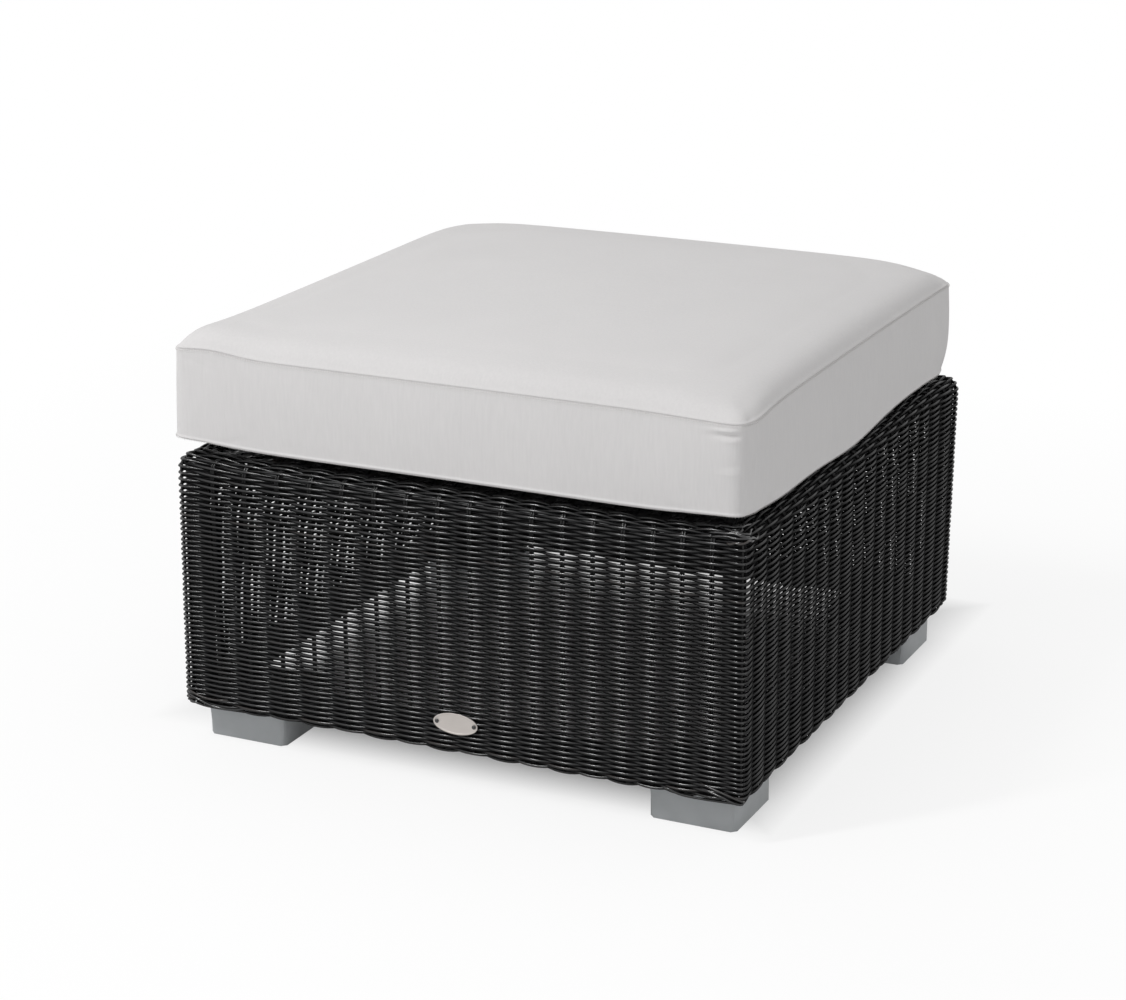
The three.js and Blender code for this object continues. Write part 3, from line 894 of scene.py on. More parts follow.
    def row_path(self, wall: Wall, row: int) -> tuple[np.ndarray, np.ndarray]:
        """The middle line of one row's strand on one wall, with the way out along it."""
        stakes = self.stake_places(wall)
        first = wall.value[0] * (self.stakes + 1)
        spans = len(stakes) - 1
        along, share, before = [], [], []
        for span in range(spans):
            steps = self.corner_steps if span in (0, spans - 1) else self.steps
            part = np.arange(steps) / steps
            along.append(stakes[span] + (stakes[span + 1] - stakes[span]) * part)
            share.append(part)
            before.append(np.full(steps, span))
        along, share, before = np.concatenate(along), np.concatenate(share), np.concatenate(before)
        along, share, before = np.r_[along, stakes[-1]], np.r_[share, 1.0], np.r_[before, spans - 1]
        here, there = (first + before) % self.round, (first + before + 1) % self.round
        eased = (1 - np.cos(np.pi * share)) / 2
        sway = self.sway[row, here] * (1 - eased) + self.sway[row, there] * eased
        swing = self.swing[row, here] * (1 - eased) + self.swing[row, there] * eased
        wave = np.cos(np.pi * share) * np.where((row + first + before) % 2, -1, 1)
        wave = wave * (1 + self.fullness - self.fullness * wave**2)
        reach = (self.middle - self.strand) * self.tightness
        return self.laid(wall, along, self.rows[row] + sway, wave * swing * reach)

    def laid(
        self, wall: Wall, along: np.ndarray, run: np.ndarray, out: np.ndarray
    ) -> tuple[np.ndarray, np.ndarray]:
        """A strand's middle line, and for each point its distance out and the way out."""
        line = self.place(wall, along, run, out)
        away = (self.place(wall, along, run, out + 0.001) - line) * 1000
        return line, np.c_[out, away]

    def loose_paths(self) -> list[tuple[np.ndarray, np.ndarray]]:
        """The loose ends at the front wall's foot, then the strands over the near rim corner."""
        paths = []
        for strand in LOOSE_ENDS:
            along, height, out = softened(np.array(strand, float) / 1000).T
            run = self.rim_run + self.rim_middle - height
            paths.append(self.laid(Wall.FRONT, along, run, out))
        for _ in range(self.crossings):
            reach = self.draw.uniform(*self.crossing_reach, 2)
            share = np.linspace(0, 1, 9)
            run = self.rim_run * np.interp(share, (0, 1), self.draw.uniform(*self.crossing_band, 2))
            run = run + self.draw.normal(0, self.crossing_wander, len(share))
            out = self.crossing_stand * (1 + np.sin(np.pi * share))
            along = np.interp(share, (0, 0.5, 1), (-reach[0], 0, reach[1]))
            front, front_away = self.laid(Wall.FRONT, self.corner_at + along, run, out)
            side, side_away = self.laid(Wall.RIGHT, along - self.corner_at, run, out)
            before = along[:, None] <= 0
            away = np.where(before, front_away, side_away)
            paths.append((softened(np.where(before, front, side)), softened(away)))
        return paths

    def stake_paths(self, wall: Wall) -> list[tuple[np.ndarray, np.ndarray]]:
        """The middle lines of the wall's stakes: pairs, and half a pair at each corner."""
        run = np.r_[
            np.linspace(0, self.rim_run, 9)[:-1],
            np.linspace(self.rim_run, self.rim_run + self.wall_run, 8),
            self.rim_run + self.wall_run + self.fold_run * np.array([0.33, 0.67, 1.0]),
            self.run,
        ]
        places = []
        for along in self.stake_places(wall):
            for side in (-1, 1):
                if abs(along + side * self.stake_half_gap) < self.corner_at:
                    places.append(along + side * self.stake_half_gap)
        return [self.laid(wall, np.full(len(run), s), run, np.zeros(len(run))) for s in places]

    def build(self, resin: bpy.types.Material) -> list[bpy.types.Object]:
        """Weaves the four walls.

        Args:
            resin: the strands' material.

        Returns:
            The four pieces.
        """
        pieces = []
        for wall in Wall:
            rows = [self.row_path(wall, row) for row in range(len(self.rows))]
            stakes = self.stake_paths(wall)
            # The wall's least share of painted shade.
            strand, shade_paint = wall.value[4] / 1000, wall.value[5]
            radii = list(strand * self.draw.normal(1, self.strand_scatter, len(rows)))
            radii = radii + [self.stake] * len(stakes)
            tones = list(self.draw.random(len(rows))) + [self.stake_tone] * len(stakes)
            loose = self.loose_paths() if wall is Wall.FRONT else []
            radii = radii + [self.loose] * len(loose)
            tones = tones + list(self.draw.uniform(0.5, 1.0, len(loose)))
            side = wall.name.lower()
            lines, away = zip(*rows, *stakes, *loose)
            piece = bundle(f"woven_wall_{side}", lines, radii, tones, away, shade_paint)
            dress(piece, resin)
            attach(piece, "base")
            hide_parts(f"wicker_{side}")
            pieces.append(piece)
        return pieces


@dataclass
class StrapDeck:
    """Flat straps woven both ways under the cushion."""

    half: float = 0.3150
    count: int = 46
    width: float = 0.0122
    half_thickness: float = 0.0006
    lift: float = 0.0016
    edge_dip: float = 0.00025
    rise: float = 0.0006
    scatter: float = 0.0002
    seed: int = 5

    def strap(self) -> bpy.types.Object:
        """One strap along X at Y 0, rippled over and under the ones it crosses."""
        deselect_all()
        steps = self.count * 2
        bpy.ops.mesh.primitive_grid_add(x_subdivisions=steps, y_subdivisions=2, size=2)
        piece = bpy.context.active_object
        points = points_of(piece)
        across = points[:, 1] * self.width / 2
        along = points[:, 0] * self.half
        turn = np.pi * (points[:, 0] + 1) / 2 * self.count
        height = self.lift * np.sin(turn) - self.edge_dip * np.abs(points[:, 1])
        move_points(piece, np.c_[along, across, height])
        thicken(piece, self.half_thickness * 2, 0)
        return piece

    def build(self, resin: bpy.types.Material) -> bpy.types.Object:
        """Weaves the deck.

        Args:
            resin: the straps' material.

        Returns:
            The piece.
        """
        low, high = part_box("wicker_deck")
        middle = (low.z + high.z) / 2 + self.rise
        model = self.strap()
        draw = np.random.default_rng(self.seed)
        pitch = 2 * self.half / self.count
        parts = []
        for way in range(2):
            turn = Matrix.Rotation(math.pi / 2 * way, 4, "Z")
            for row in range(self.count):
                place = -self.half + pitch * (row + 0.5)
                flip = Matrix.Scale(-1, 4, (0, 0, 1)) if (row + way) % 2 else Matrix.Identity(4)
                drift = Matrix.Translation((0, place + draw.normal(0, self.scatter), middle))
                part = own_copy(model, turn @ drift @ flip)
                if (row + way) % 2:
                    part.data.flip_normals()
                set_values(part, "tone", np.full(len(part.data.vertices), draw.random()))
                parts.append(part)
        bpy.data.objects.remove(model)
        piece = joined("woven_deck", parts)
        smooth(piece, 40)
        dress(piece, resin)
        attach(piece, "base")
        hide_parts("wicker_deck")
        return piece


# Feet and plate


@dataclass
class BlockFeet:
    """Hollow block feet with eased edges, open below round the boss that takes the screw."""

    side: float = 0.102
    height: float = 0.0420
    wall: float = 0.004
    corner: float = 0.0055
    edge: float = 0.0022
    boss: float = 0.018
    boss_top: float = 0.0500
    boss_wall: float = 0.010
    boss_sink: float = 0.013

    def model(self) -> bpy.types.Object:
        """One foot, standing at the origin."""
        deselect_all()
        bpy.ops.mesh.primitive_cube_add(size=1, location=(0, 0, self.height / 2))
        piece = bpy.context.active_object
        piece.scale = (self.side, self.side, self.height)
        settle(piece)
        enter_edit(piece)
        pick_edges(piece, (0, 0, 1))
        bpy.ops.mesh.bevel(offset=self.corner, segments=6, profile=0.5)
        pick_faces(piece, (0, 0, -1))
        bpy.ops.mesh.inset(thickness=self.wall)
        bpy.ops.mesh.extrude_region_move(
            TRANSFORM_OT_translate={"value": (0, 0, self.height - self.wall)}
        )
        leave_edit()
        ease_edges(piece, self.edge, 4, 60)
        deselect_all()
        bpy.ops.mesh.primitive_cylinder_add(
            vertices=40,
            radius=self.boss,
            depth=self.boss_top - self.wall,
            location=(0, 0, (self.boss_top + self.wall) / 2),
        )
        boss = bpy.context.active_object
        settle(boss)
        enter_edit(boss)
        pick_faces(boss, (0, 0, -1))
        bpy.ops.mesh.inset(thickness=self.boss_wall)
        bpy.ops.mesh.extrude_region_move(TRANSFORM_OT_translate={"value": (0, 0, self.boss_sink)})
        leave_edit()
        piece = joined("foot", [piece, boss])
        smooth(piece, 35)
        return piece

    def build(self, coat: bpy.types.Material) -> None:
        """Puts a foot in place of each of the four CAD ones.

        Args:
            coat: the feet's material.
        """
        model = self.model()
        for end in ("front", "back"):
            for side in ("left", "right"):
                node = f"foot_{end}_{side}"
                low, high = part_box(node)
                middle = (low + high) / 2
                foot = own_copy(model, Matrix.Translation((middle.x, middle.y, 0)))
                foot.name = f"block_{node}"
                dress(foot, coat)
                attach(foot, "base")
                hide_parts(node)
        bpy.data.objects.remove(model)


@dataclass
class NamePlate:
    """The bare oval plate: a dished face inside a raised rim, tied on at both ends."""

    rim: float = 0.0016
    dish: float = 0.0004
    edge: float = 0.0003

    def build(self, steel: bpy.types.Material, resin: bpy.types.Material) -> None:
        """Models the plate and gives its two ties the resin.

        Args:
            steel: the plate's material.
            resin: the ties' material.
        """
        low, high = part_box("badge_plate")
        middle, size = (low + high) / 2, high - low
        deselect_all()
        bpy.ops.mesh.primitive_cylinder_add(
            vertices=72, radius=0.5, depth=1, rotation=(math.pi / 2, 0, 0)
        )
        plate = bpy.context.active_object
        plate.name = "oval_plate"
        settle(plate)
        plate.matrix_basis = Matrix.Translation(middle) @ Matrix.Diagonal((*size, 1))
        settle(plate)
        enter_edit(plate)
        pick_faces(plate, (0, -1, 0))
        bpy.ops.mesh.inset(thickness=self.rim)
        bpy.ops.mesh.inset(thickness=self.dish)
        bpy.ops.transform.translate(value=(0, self.dish, 0))
        leave_edit()
        ease_edges(plate, self.edge, 3, 40)
        smooth(plate, 35)
        dress(plate, steel)
        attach(plate, "base")
        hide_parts("badge_plate")
        for side in ("left", "right"):
            node = f"badge_tie_{side}"
            frame["nodes"][node].data.materials[0] = resin


# The cushion


class Corner(Enum):
    """The cushion's corners and how each one gives way.

    The value holds the two signs, then how far the upper seam rises and stands out there, the same
    for the lower seam, all in millimetres, the share by which the crown flattens towards the
    corner, how far the lower seam is tucked in, in millimetres, the share of the sides' swell that
    is left there, and how far the flattening reaches, in millimetres.
    """

    FRONT_LEFT = (-1, -1, 3.5, 1.0, 7.0, 5.0, 0.55, 0.0, 0.1, 22.0)
    FRONT_RIGHT = (1, -1, -1.0, 6.0, 6.0, 3.5, 0.30, 0.0, 0.6, 48.0)
    BACK_RIGHT = (1, 1, -4.0, -5.0, -9.0, -6.0, 0.55, 7.0, 1.0, 48.0)
    BACK_LEFT = (-1, 1, -4.0, -1.0, -2.0, 0.0, 0.30, 7.0, 1.0, 48.0)


SIDE_ROWS = (0, 0.9, 1.9, 3.0, 4.2, 5.6, 7.2, 9, 11, 13, 15, 17, 19.5, 22.5, 27, 33, 39, 45.5)
"""How far each row of the cover's sides lies from the nearer seam, up to the zip's slot, in mm."""

EDGE_REACH = 0.05
"""How far in from the cushion's sides a change of its plan dies away."""


@dataclass(frozen=True)
class Drift:
    """A stretch of seam off its straight line, on the face that looks along a direction."""

    face: tuple[int, int]
    upper: bool
    middle: float
    reach: float
    rise: float
    out: float

    def pull(self, x: np.ndarray, y: np.ndarray, share: np.ndarray, half: float) -> np.ndarray:
        """How much of the drift reaches each point.

        Args:
            x: the points' places.
            y: the same.
            share: their heights, 0 at the lower seam and 1 at the upper one.
            half: half the cushion's width.

        Returns:
            A share for each point.
        """
        close = np.exp(-(half - x * self.face[0] - y * self.face[1]) / EDGE_REACH)
        along = x * abs(self.face[1]) + y * abs(self.face[0])
        belongs = share if self.upper else 1 - share
        return close * np.exp(-(((along - self.middle) / self.reach) ** 2)) * belongs


@dataclass(frozen=True)
class Crease:
    """A short fold pressed into the cover or, with a depth below zero, raised out of it."""

    middle: Point
    along: Point
    half_length: float
    half_width: float
    depth: float

    def press(self, points: np.ndarray, outward: np.ndarray) -> np.ndarray:
        """Where the fold takes the points.

        Args:
            points: the cover's points.
            outward: its normals there.

        Returns:
            The points, pressed in.
        """
        run = np.array(self.along) / np.linalg.norm(self.along)
        apart = points - np.array(self.middle)
        on = apart @ run
        off = np.linalg.norm(apart - on[:, None] * run, axis=1)
        share = np.exp(-((on / self.half_length) ** 2) - (off / self.half_width) ** 2)
        return points - outward * (self.depth * share)[:, None]


@dataclass
class BoxCushion:
    """A box cushion: crowned top, sloping underside, plain stitched seams, a zip at the back."""

    half: float = 0.344
    corner: float = 0.014
    near_corner: tuple[float, float] = (0.012, 0.028)
    shoulder: float = 0.024
    shoulder_reach: float = 0.009
    crown: float = 0.018
    crown_reach: float = 0.045
    belly_reach: float = 0.110
    side_pull: float = 0.003
    side_swell: float = 0.0025
    corner_reach: float = 0.075
    tuck_reach: float = 0.030
    drifts: tuple[Drift, ...] = (
        Drift((0, -1), True, -0.295, 0.038, 0.0045, 0.0),
        Drift((1, 0), False, -0.020, 0.110, -0.0080, 0.003),
        Drift((1, 0), False, -0.220, 0.090, -0.0038, 0.001),
    )
    clearance: float = 0.0004
    groove: float = 0.0012
    groove_half: float = 0.0008
    lip: float = 0.0009
    lip_place: float = 0.0020
    lip_half: float = 0.0012
    lip_shares: tuple[float, float, float] = (1.5, 1.7, 0.45)
    seam_half: float = 0.0014
    zip_half_slot: float = 0.0036
    slot_edge: float = 0.0008
    zip_depth: float = 0.0012
    zip_hold: float = 0.016
    grid: int = 120
    edge_lines: tuple[float, ...] = (0.0, 0.0005, 0.0011, 0.0020, 0.0034, 0.0055, 0.0090, 0.0135)
    stitch: float = 0.0031
    stitch_half: float = 0.0013
    stitch_stand: float = 0.0019
    stitch_tilt: float = 0.0005
    stitch_bow: float = 0.0001
    stitch_slant: float = 0.0002
    thread: float = 0.00022
    held_seam: float = 0.0003
    fill_frames: int = 20
    most_fill: float = 0.0030
    even_rounds: int = 60
    even_share: float = 0.7
    firmness: float = 0.85
    seed: int = 3

    def __post_init__(self) -> None:
        """Takes the seams' heights from the CAD and spaces the rows of the sides."""
        bottom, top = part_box("cover_bottom"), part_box("cover_top")
        self.lower_seam, self.upper_seam = bottom[1].z, top[0].z
        self.sag = self.lower_seam - bottom[0].z - self.clearance
        self.tall = self.upper_seam - self.lower_seam
        slot = self.tall / 2 - self.zip_half_slot
        low = np.r_[np.array(SIDE_ROWS) / 1000, slot - self.slot_edge, slot]
        self.levels = np.r_[low, (self.tall - low)[::-1]]
        self.draw = np.random.default_rng(self.seed)

    def blank(self) -> bpy.types.Object:
        """The two panels and the sides between them as one even box of quads."""
        deselect_all()
        size = 2 * self.half
        cells = self.grid
        bpy.ops.mesh.primitive_grid_add(
            x_subdivisions=cells, y_subdivisions=cells, size=size, location=(0, 0, self.upper_seam)
        )
        piece = bpy.context.active_object
        piece.name = "cushion_cover"
        settle(piece)
        enter_edit(piece)
        bpy.ops.mesh.primitive_grid_add(
            x_subdivisions=cells, y_subdivisions=cells, size=size, location=(0, 0, self.lower_seam)
        )
        bpy.ops.mesh.select_all(action="DESELECT")
        bpy.ops.mesh.select_mode(type="EDGE")
        bpy.ops.mesh.select_non_manifold()
        bpy.ops.mesh.bridge_edge_loops(number_cuts=len(self.levels) - 2, interpolation="LINEAR")
        bpy.ops.mesh.select_all(action="SELECT")
        bpy.ops.mesh.normals_make_consistent(inside=False)
        leave_edit()
        return piece

    def spread(self, values: np.ndarray) -> np.ndarray:
        """Even grid places moved so that lines lie close together beside the seams."""
        step = 2 * self.half / self.grid
        edge = np.array(self.edge_lines)
        even = np.arange(len(edge)) * step
        inner = (self.grid // 2) * step
        depth = self.half - np.abs(values)
        moved = np.interp(depth, np.r_[even, inner], np.r_[edge, self.half])
        return np.sign(values) * (self.half - moved)

    def past_corner(
        self, x: np.ndarray, y: np.ndarray
    ) -> tuple[np.ndarray, np.ndarray, np.ndarray, np.ndarray]:
        """How far points lie past the start of their corner's turn, in its radii, and the radii."""
        near = (x > 0) & (y < 0)
        round_x = np.where(near, self.near_corner[0], self.corner)
        round_y = np.where(near, self.near_corner[1], self.corner)
        over_x = (np.abs(x) - self.half + round_x) / round_x
        over_y = (np.abs(y) - self.half + round_y) / round_y
        return over_x, over_y, round_x, round_y

    def rounded(self, x: np.ndarray, y: np.ndarray) -> tuple[np.ndarray, np.ndarray, np.ndarray]:
        """Square places taken to the cushion's rounded plan, with their depth in from its edge."""
        over_x, over_y, round_x, round_y = self.past_corner(x, y)
        both = (over_x > 0) & (over_y > 0)
        most = np.maximum(over_x, over_y)
        length = np.maximum(np.hypot(over_x, over_y), 1e-9)
        turned_x = self.half - round_x + round_x * over_x / length * most
        turned_y = self.half - round_y + round_y * over_y / length * most
        new_x = np.where(both, np.sign(x) * turned_x, x)
        new_y = np.where(both, np.sign(y) * turned_y, y)
        return new_x, new_y, np.maximum(self.half - np.maximum(np.abs(x), np.abs(y)), 0)

    def pulled(self, x: np.ndarray, y: np.ndarray) -> tuple[np.ndarray, np.ndarray]:
        """The plan with its front, left and right sides drawn in between the corners."""
        pull_x = self.side_pull * (1 - np.clip(y / self.half, -1, 1) ** 2)
        pull_y = self.side_pull * (1 - np.clip(x / self.half, -1, 1) ** 2)
        new_x = x * (1 - pull_x / self.half)
        return new_x, np.where(y < 0, y * (1 - pull_y / self.half), y)

    def shape(self, piece: bpy.types.Object) -> None:
        """Moves the blank's points to the cushion's form and notes what each belongs to."""
        x, y, z = points_of(piece).T
        even = self.tall * np.arange(len(self.levels)) / (len(self.levels) - 1)
        level = np.interp(z - self.lower_seam, even, self.levels)
        rim = np.maximum(np.abs(x), np.abs(y)) > self.half - self.half / self.grid / 2
        top = (level > self.tall - 1e-5) & ~rim
        x, y, depth = self.rounded(self.spread(x), self.spread(y))
        share = level / self.tall
        over_x, over_y, round_x, round_y = self.past_corner(x, y)
        out_x = np.sign(x) * np.maximum(over_x, 0) / round_x
        out = np.c_[out_x, np.sign(y) * np.maximum(over_y, 0) / round_y]
        out = out / np.maximum(np.linalg.norm(out, axis=1), 1e-9)[:, None]
        dome = (1 - (x / self.half) ** 2) * (1 - (y / self.half) ** 2)
        rise = self.shoulder * (1 - np.exp(-depth / self.shoulder_reach))
        rise = rise + self.crown * dome * np.minimum(1, depth / self.crown_reach)
        fall = -self.sag * ease(depth / self.belly_reach)
        lift, push = np.zeros(len(x)), np.zeros(len(x))
        swell = self.side_swell * np.sin(np.pi * share)
        for corner in Corner:
            sign_x, sign_y, up_rise, up_out, low_rise, low_out, *rest = corner.value
            pinch, tuck, full, flat = rest
            away = np.hypot(self.half - sign_x * x, self.half - sign_y * y)
            near = np.exp(-((away / self.corner_reach) ** 2))
            lift = lift + near * (low_rise * (1 - share) + up_rise * share) / 1000
            push = push + near * (low_out * (1 - share) + up_out * share) / 1000
            tucked = np.exp(-((away / self.tuck_reach) ** 2)) * np.clip(1 - share / 0.4, 0, 1) ** 2
            push = push - tuck / 1000 * tucked
            swell = swell * (1 - (1 - full) * near)
            rise = rise * (1 - pinch * np.exp(-((away * 1000 / flat) ** 2)))
        push = push + swell
        for drift in self.drifts:
            pull = drift.pull(x, y, share, self.half)
            lift, push = lift + drift.rise * pull, push + drift.out * pull
        beside_zip = np.exp(-(((level - self.tall / 2) / self.zip_hold) ** 4))
        held = beside_zip * np.clip((out[:, 1] - 0.8) / 0.2, 0, 1)
        push = push + held * (self.side_swell - push)
        height = self.lower_seam + level + np.where(rim, 0, np.where(top, rise, fall)) + lift
        x, y = self.pulled(x, y)
        edge = np.exp(-depth / EDGE_REACH)
        move_points(piece, np.c_[x + out[:, 0] * push * edge, y + out[:, 1] * push * edge, height])
        self.rim, self.top, self.level = rim, top, level
        over_panel = np.hypot(depth, np.where(top, rise, fall))
        self.run = np.where(rim, np.minimum(level, self.tall - level), over_panel)

    def fill(self, piece: bpy.types.Object) -> None:
        """Fills the cover out with a short cloth simulation, its seams held.

        The moves are evened, what would take the cover in is mostly left out, and each is capped.

        Args:
            piece: the shaped cover.
        """
        before, normals = points_of(piece), normals_of(piece)
        group = piece.vertex_groups.new(name="seams")
        group.add(np.nonzero(self.run < self.held_seam)[0].tolist(), 1.0, "REPLACE")
        cloth = piece.modifiers.new("fill", "CLOTH")
        settings = {
            "quality": 5,
            "mass": 0.25,
            "tension_stiffness": 15,
            "compression_stiffness": 15,
            "shear_stiffness": 5,
            "bending_stiffness": 0.3,
            "use_pressure": True,
            "uniform_pressure_force": 4,
            "vertex_group_mass": "seams",
        }
        for name, value in settings.items():
            setattr(cloth.settings, name, value)
        cloth.settings.effector_weights.gravity = 0
        cloth.point_cache.frame_start, cloth.point_cache.frame_end = 1, self.fill_frames
        for step in range(1, self.fill_frames + 1):
            bpy.context.scene.frame_set(step)
        apply_all(piece)
        bpy.context.scene.frame_set(1)
        moved = self.evened(piece, points_of(piece) - before)
        inward = np.minimum(np.sum(moved * normals, axis=1), 0)
        moved = moved - normals * (inward * self.firmness)[:, None]
        length = np.linalg.norm(moved, axis=1)
        log.info("filling by up to %.1f mm before the cap", length.max() * 1000)
        share = np.minimum(1, self.most_fill / np.maximum(length, 1e-9))
        move_points(piece, before + moved * share[:, None])

    def evened(self, piece: bpy.types.Object, moved: np.ndarray) -> np.ndarray:
        """Each point's move averaged with its neighbours', so that the filled cover lies smooth.

        Args:
            piece: the cover.
            moved: the moves, (n, 3).

        Returns:
            The evened moves, none of them at the seams.
        """
        ends = np.empty(len(piece.data.edges) * 2, np.int32)
        piece.data.edges.foreach_get("vertices", ends)
        first, second = ends.reshape(-1, 2).T
        here, there = np.r_[first, second], np.r_[second, first]
        share = np.bincount(here, minlength=len(moved))[:, None]
        for _ in range(self.even_rounds):
            sums = (np.bincount(here, moved[there, axis], len(moved)) for axis in range(3))
            mean = np.c_[tuple(sums)] / share
            moved = moved * (1 - self.even_share) + mean * self.even_share
            moved[self.run < self.held_seam] = 0
        return moved

    def creases(self) -> list[Crease]:
        """The gathers at the near corner, then small ones beside every corner under both seams."""
        near, face = self.half, -self.half - 0.001
        full = face - Corner.FRONT_RIGHT.value[3] / 1000
        upper, lower = self.upper_seam, self.lower_seam
        beside = (near + 0.001, 0.020 - near, upper - 0.004)
        folds = [
            Crease((near - 0.014, full, upper - 0.0030), (1, 0, 0.06), 0.019, 0.0021, 0.0018),
            Crease((near - 0.016, full, upper - 0.0074), (1, 0, 0.03), 0.021, 0.0028, -0.0026),
            Crease((near - 0.012, full, upper - 0.0124), (1, 0, 0.05), 0.015, 0.0027, 0.0034),
            Crease((near - 0.007, full, upper - 0.0182), (1, 0, -0.05), 0.011, 0.0032, -0.0018),
            Crease((near - 0.026, full, upper - 0.0125), (1, 0, 0.10), 0.014, 0.0040, 0.0008),
            Crease((near - 0.006, full, upper - 0.0440), (1, 0, 0.25), 0.012, 0.0045, 0.0013),
            Crease((near - 0.012, full, upper - 0.0520), (1, 0, 0.10), 0.014, 0.0050, -0.0010),
            Crease(beside, (0, 1, -0.1), 0.014, 0.0026, 0.0010),
        ]
        for turn in range(4):
            spin = Matrix.Rotation(turn * math.pi / 2, 3, "Z")
            for end in (-1, 1):
                for seam, way in ((upper, -1), (lower, 1)):
                    for _ in range(3):
                        along = end * (self.half - self.draw.uniform(0.012, 0.085))
                        height = seam + way * self.draw.uniform(0.003, 0.017)
                        middle = spin @ Vector((along, face, height))
                        lean = spin @ Vector((1, 0, end * way * -self.draw.uniform(0.05, 0.5)))
                        size = self.draw.uniform(0.006, 0.016), self.draw.uniform(0.0022, 0.0040)
                        depth = self.draw.uniform(0.0002, 0.0008)
                        folds.append(Crease(tuple(middle), tuple(lean), *size, depth))
        return folds

    def sew(self, piece: bpy.types.Object) -> None:
        """Draws the seams in between two soft lips, opens the zip's slot and presses creases in."""
        normals = normals_of(piece)
        points = points_of(piece)
        for crease in self.creases():
            points = crease.press(points, normals)
        dip = -self.groove * np.exp(-((self.run / self.groove_half) ** 2))
        lip = self.lip * np.exp(-(((self.run - self.lip_place) / self.lip_half) ** 2))
        lower_side = self.rim & (self.level < self.tall / 2)
        on_top, on_lower_side, elsewhere = self.lip_shares
        lip = lip * np.where(self.top, on_top, np.where(lower_side, on_lower_side, elsewhere))
        inside = np.abs(points[:, 0]) < self.half - self.corner
        back = self.rim & (points[:, 1] > self.half - 0.004) & inside
        slot = back & (np.abs(self.level - self.tall / 2) < self.zip_half_slot + 1e-5)
        move = dip + lip - self.zip_depth * slot
        move_points(piece, points + normals * move[:, None])
        set_values(piece, "seam", np.exp(-((self.run / self.seam_half) ** 2)))

    def lay_cloth(self, piece: bpy.types.Object) -> None:
        """Unwraps each panel flat, in metres, for the weave of the cloth."""
        mesh = piece.data
        layer = mesh.uv_layers[0] if mesh.uv_layers else mesh.uv_layers.new(name="cloth")
        layer.name = "cloth"
        corner = np.empty(len(mesh.loops), np.int32)
        mesh.loops.foreach_get("vertex_index", corner)
        normals = np.empty(len(mesh.polygons) * 3, np.float32)
        mesh.polygons.foreach_get("normal", normals)
        totals = np.empty(len(mesh.polygons), np.int32)
        mesh.polygons.foreach_get("loop_total", totals)
        normal = np.repeat(normals.reshape(-1, 3), totals, axis=0)
        points = points_of(piece)[corner]
        flat = np.abs(normal[:, 2]) > 0.3
        sideways = np.abs(normal[:, 0]) > np.abs(normal[:, 1])
        u = np.where(flat, points[:, 0], np.where(sideways, points[:, 1], points[:, 0]))
        v = np.where(flat, points[:, 1], points[:, 2])
        layer.data.foreach_set("uv", np.c_[u, v].astype(np.float32).ravel())

    def seam_line(self, points: np.ndarray, level: float) -> tuple[np.ndarray, np.ndarray]:
        """Places along a seam, a stitch apart, and the way out from it there.

        Args:
            points: the cover's points, as sewn.
            level: the seam's height above the lower seam.

        Returns:
            The places and the directions, both (n, 3).
        """
        loop = points[self.rim & (np.abs(self.level - level) < 1e-5)]
        loop = loop[np.argsort(np.arctan2(loop[:, 1], loop[:, 0]))]
        loop = np.vstack([loop, loop[:1]])
        run = np.r_[0, np.cumsum(np.linalg.norm(np.diff(loop, axis=0), axis=1))]
        count = round(run[-1] / self.stitch)
        at = (np.arange(count) + 0.5) * run[-1] / count
        places = np.c_[tuple(np.interp(at, run, loop[:, axis]) for axis in range(3))]
        ahead = np.roll(places, -1, axis=0) - np.roll(places, 1, axis=0)
        out = np.c_[ahead[:, 1], -ahead[:, 0], np.zeros(count)]
        return places, out / np.linalg.norm(out, axis=1)[:, None]

    def stitches(self, cover: bpy.types.Object, thread: bpy.types.Material) -> bpy.types.Object:
        """The stitches that show across both seams.

        Args:
            cover: the sewn cover, not yet made finer.
            thread: their material.

        Returns:
            The piece.
        """
        points = points_of(cover)
        up = np.array([0, 0, 1.0])
        paths = []
        for level, tilt in ((self.tall, self.stitch_tilt), (0.0, -self.stitch_tilt)):
            places, out = self.seam_line(points, level)
            for place, away in zip(places, out):
                slant = np.cross(up, away) * self.draw.normal(0, self.stitch_slant)
                high = place + away * (self.stitch_stand - tilt) + up * self.stitch_half + slant
                low = place + away * (self.stitch_stand + tilt) - up * self.stitch_half - slant
                middle = (high + low) / 2 + away * self.stitch_bow
                paths.append(np.array([high, middle, low]))
        tones = list(self.draw.random(len(paths)))
        piece = bundle("seam_stitches", paths, [self.thread] * len(paths), tones)
        dress(piece, thread)
        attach(piece, "cushion")
        return piece

    def build(
        self, cloth: bpy.types.Material, thread: bpy.types.Material
    ) -> list[bpy.types.Object]:
        """Sews and fills the cushion's cover.

        Args:
            cloth: the cover's material.
            thread: the stitches' material.

        Returns:
            The cover and its stitches.
        """
        piece = self.blank()
        self.shape(piece)
        self.fill(piece)
        self.sew(piece)
        stitches = self.stitches(piece, thread)
        self.lay_cloth(piece)
        finer = piece.modifiers.new("finer", "SUBSURF")
        finer.levels = finer.render_levels = 1
        apply_all(piece)
        smooth(piece)
        dress(piece, cloth)
        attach(piece, "cushion")
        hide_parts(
            "foam_core",
            "cover_top",
            "cover_bottom",
            "boxing_band",
            "zip_strip_lower",
            "zip_strip_upper",
        )
        return [piece, stitches]


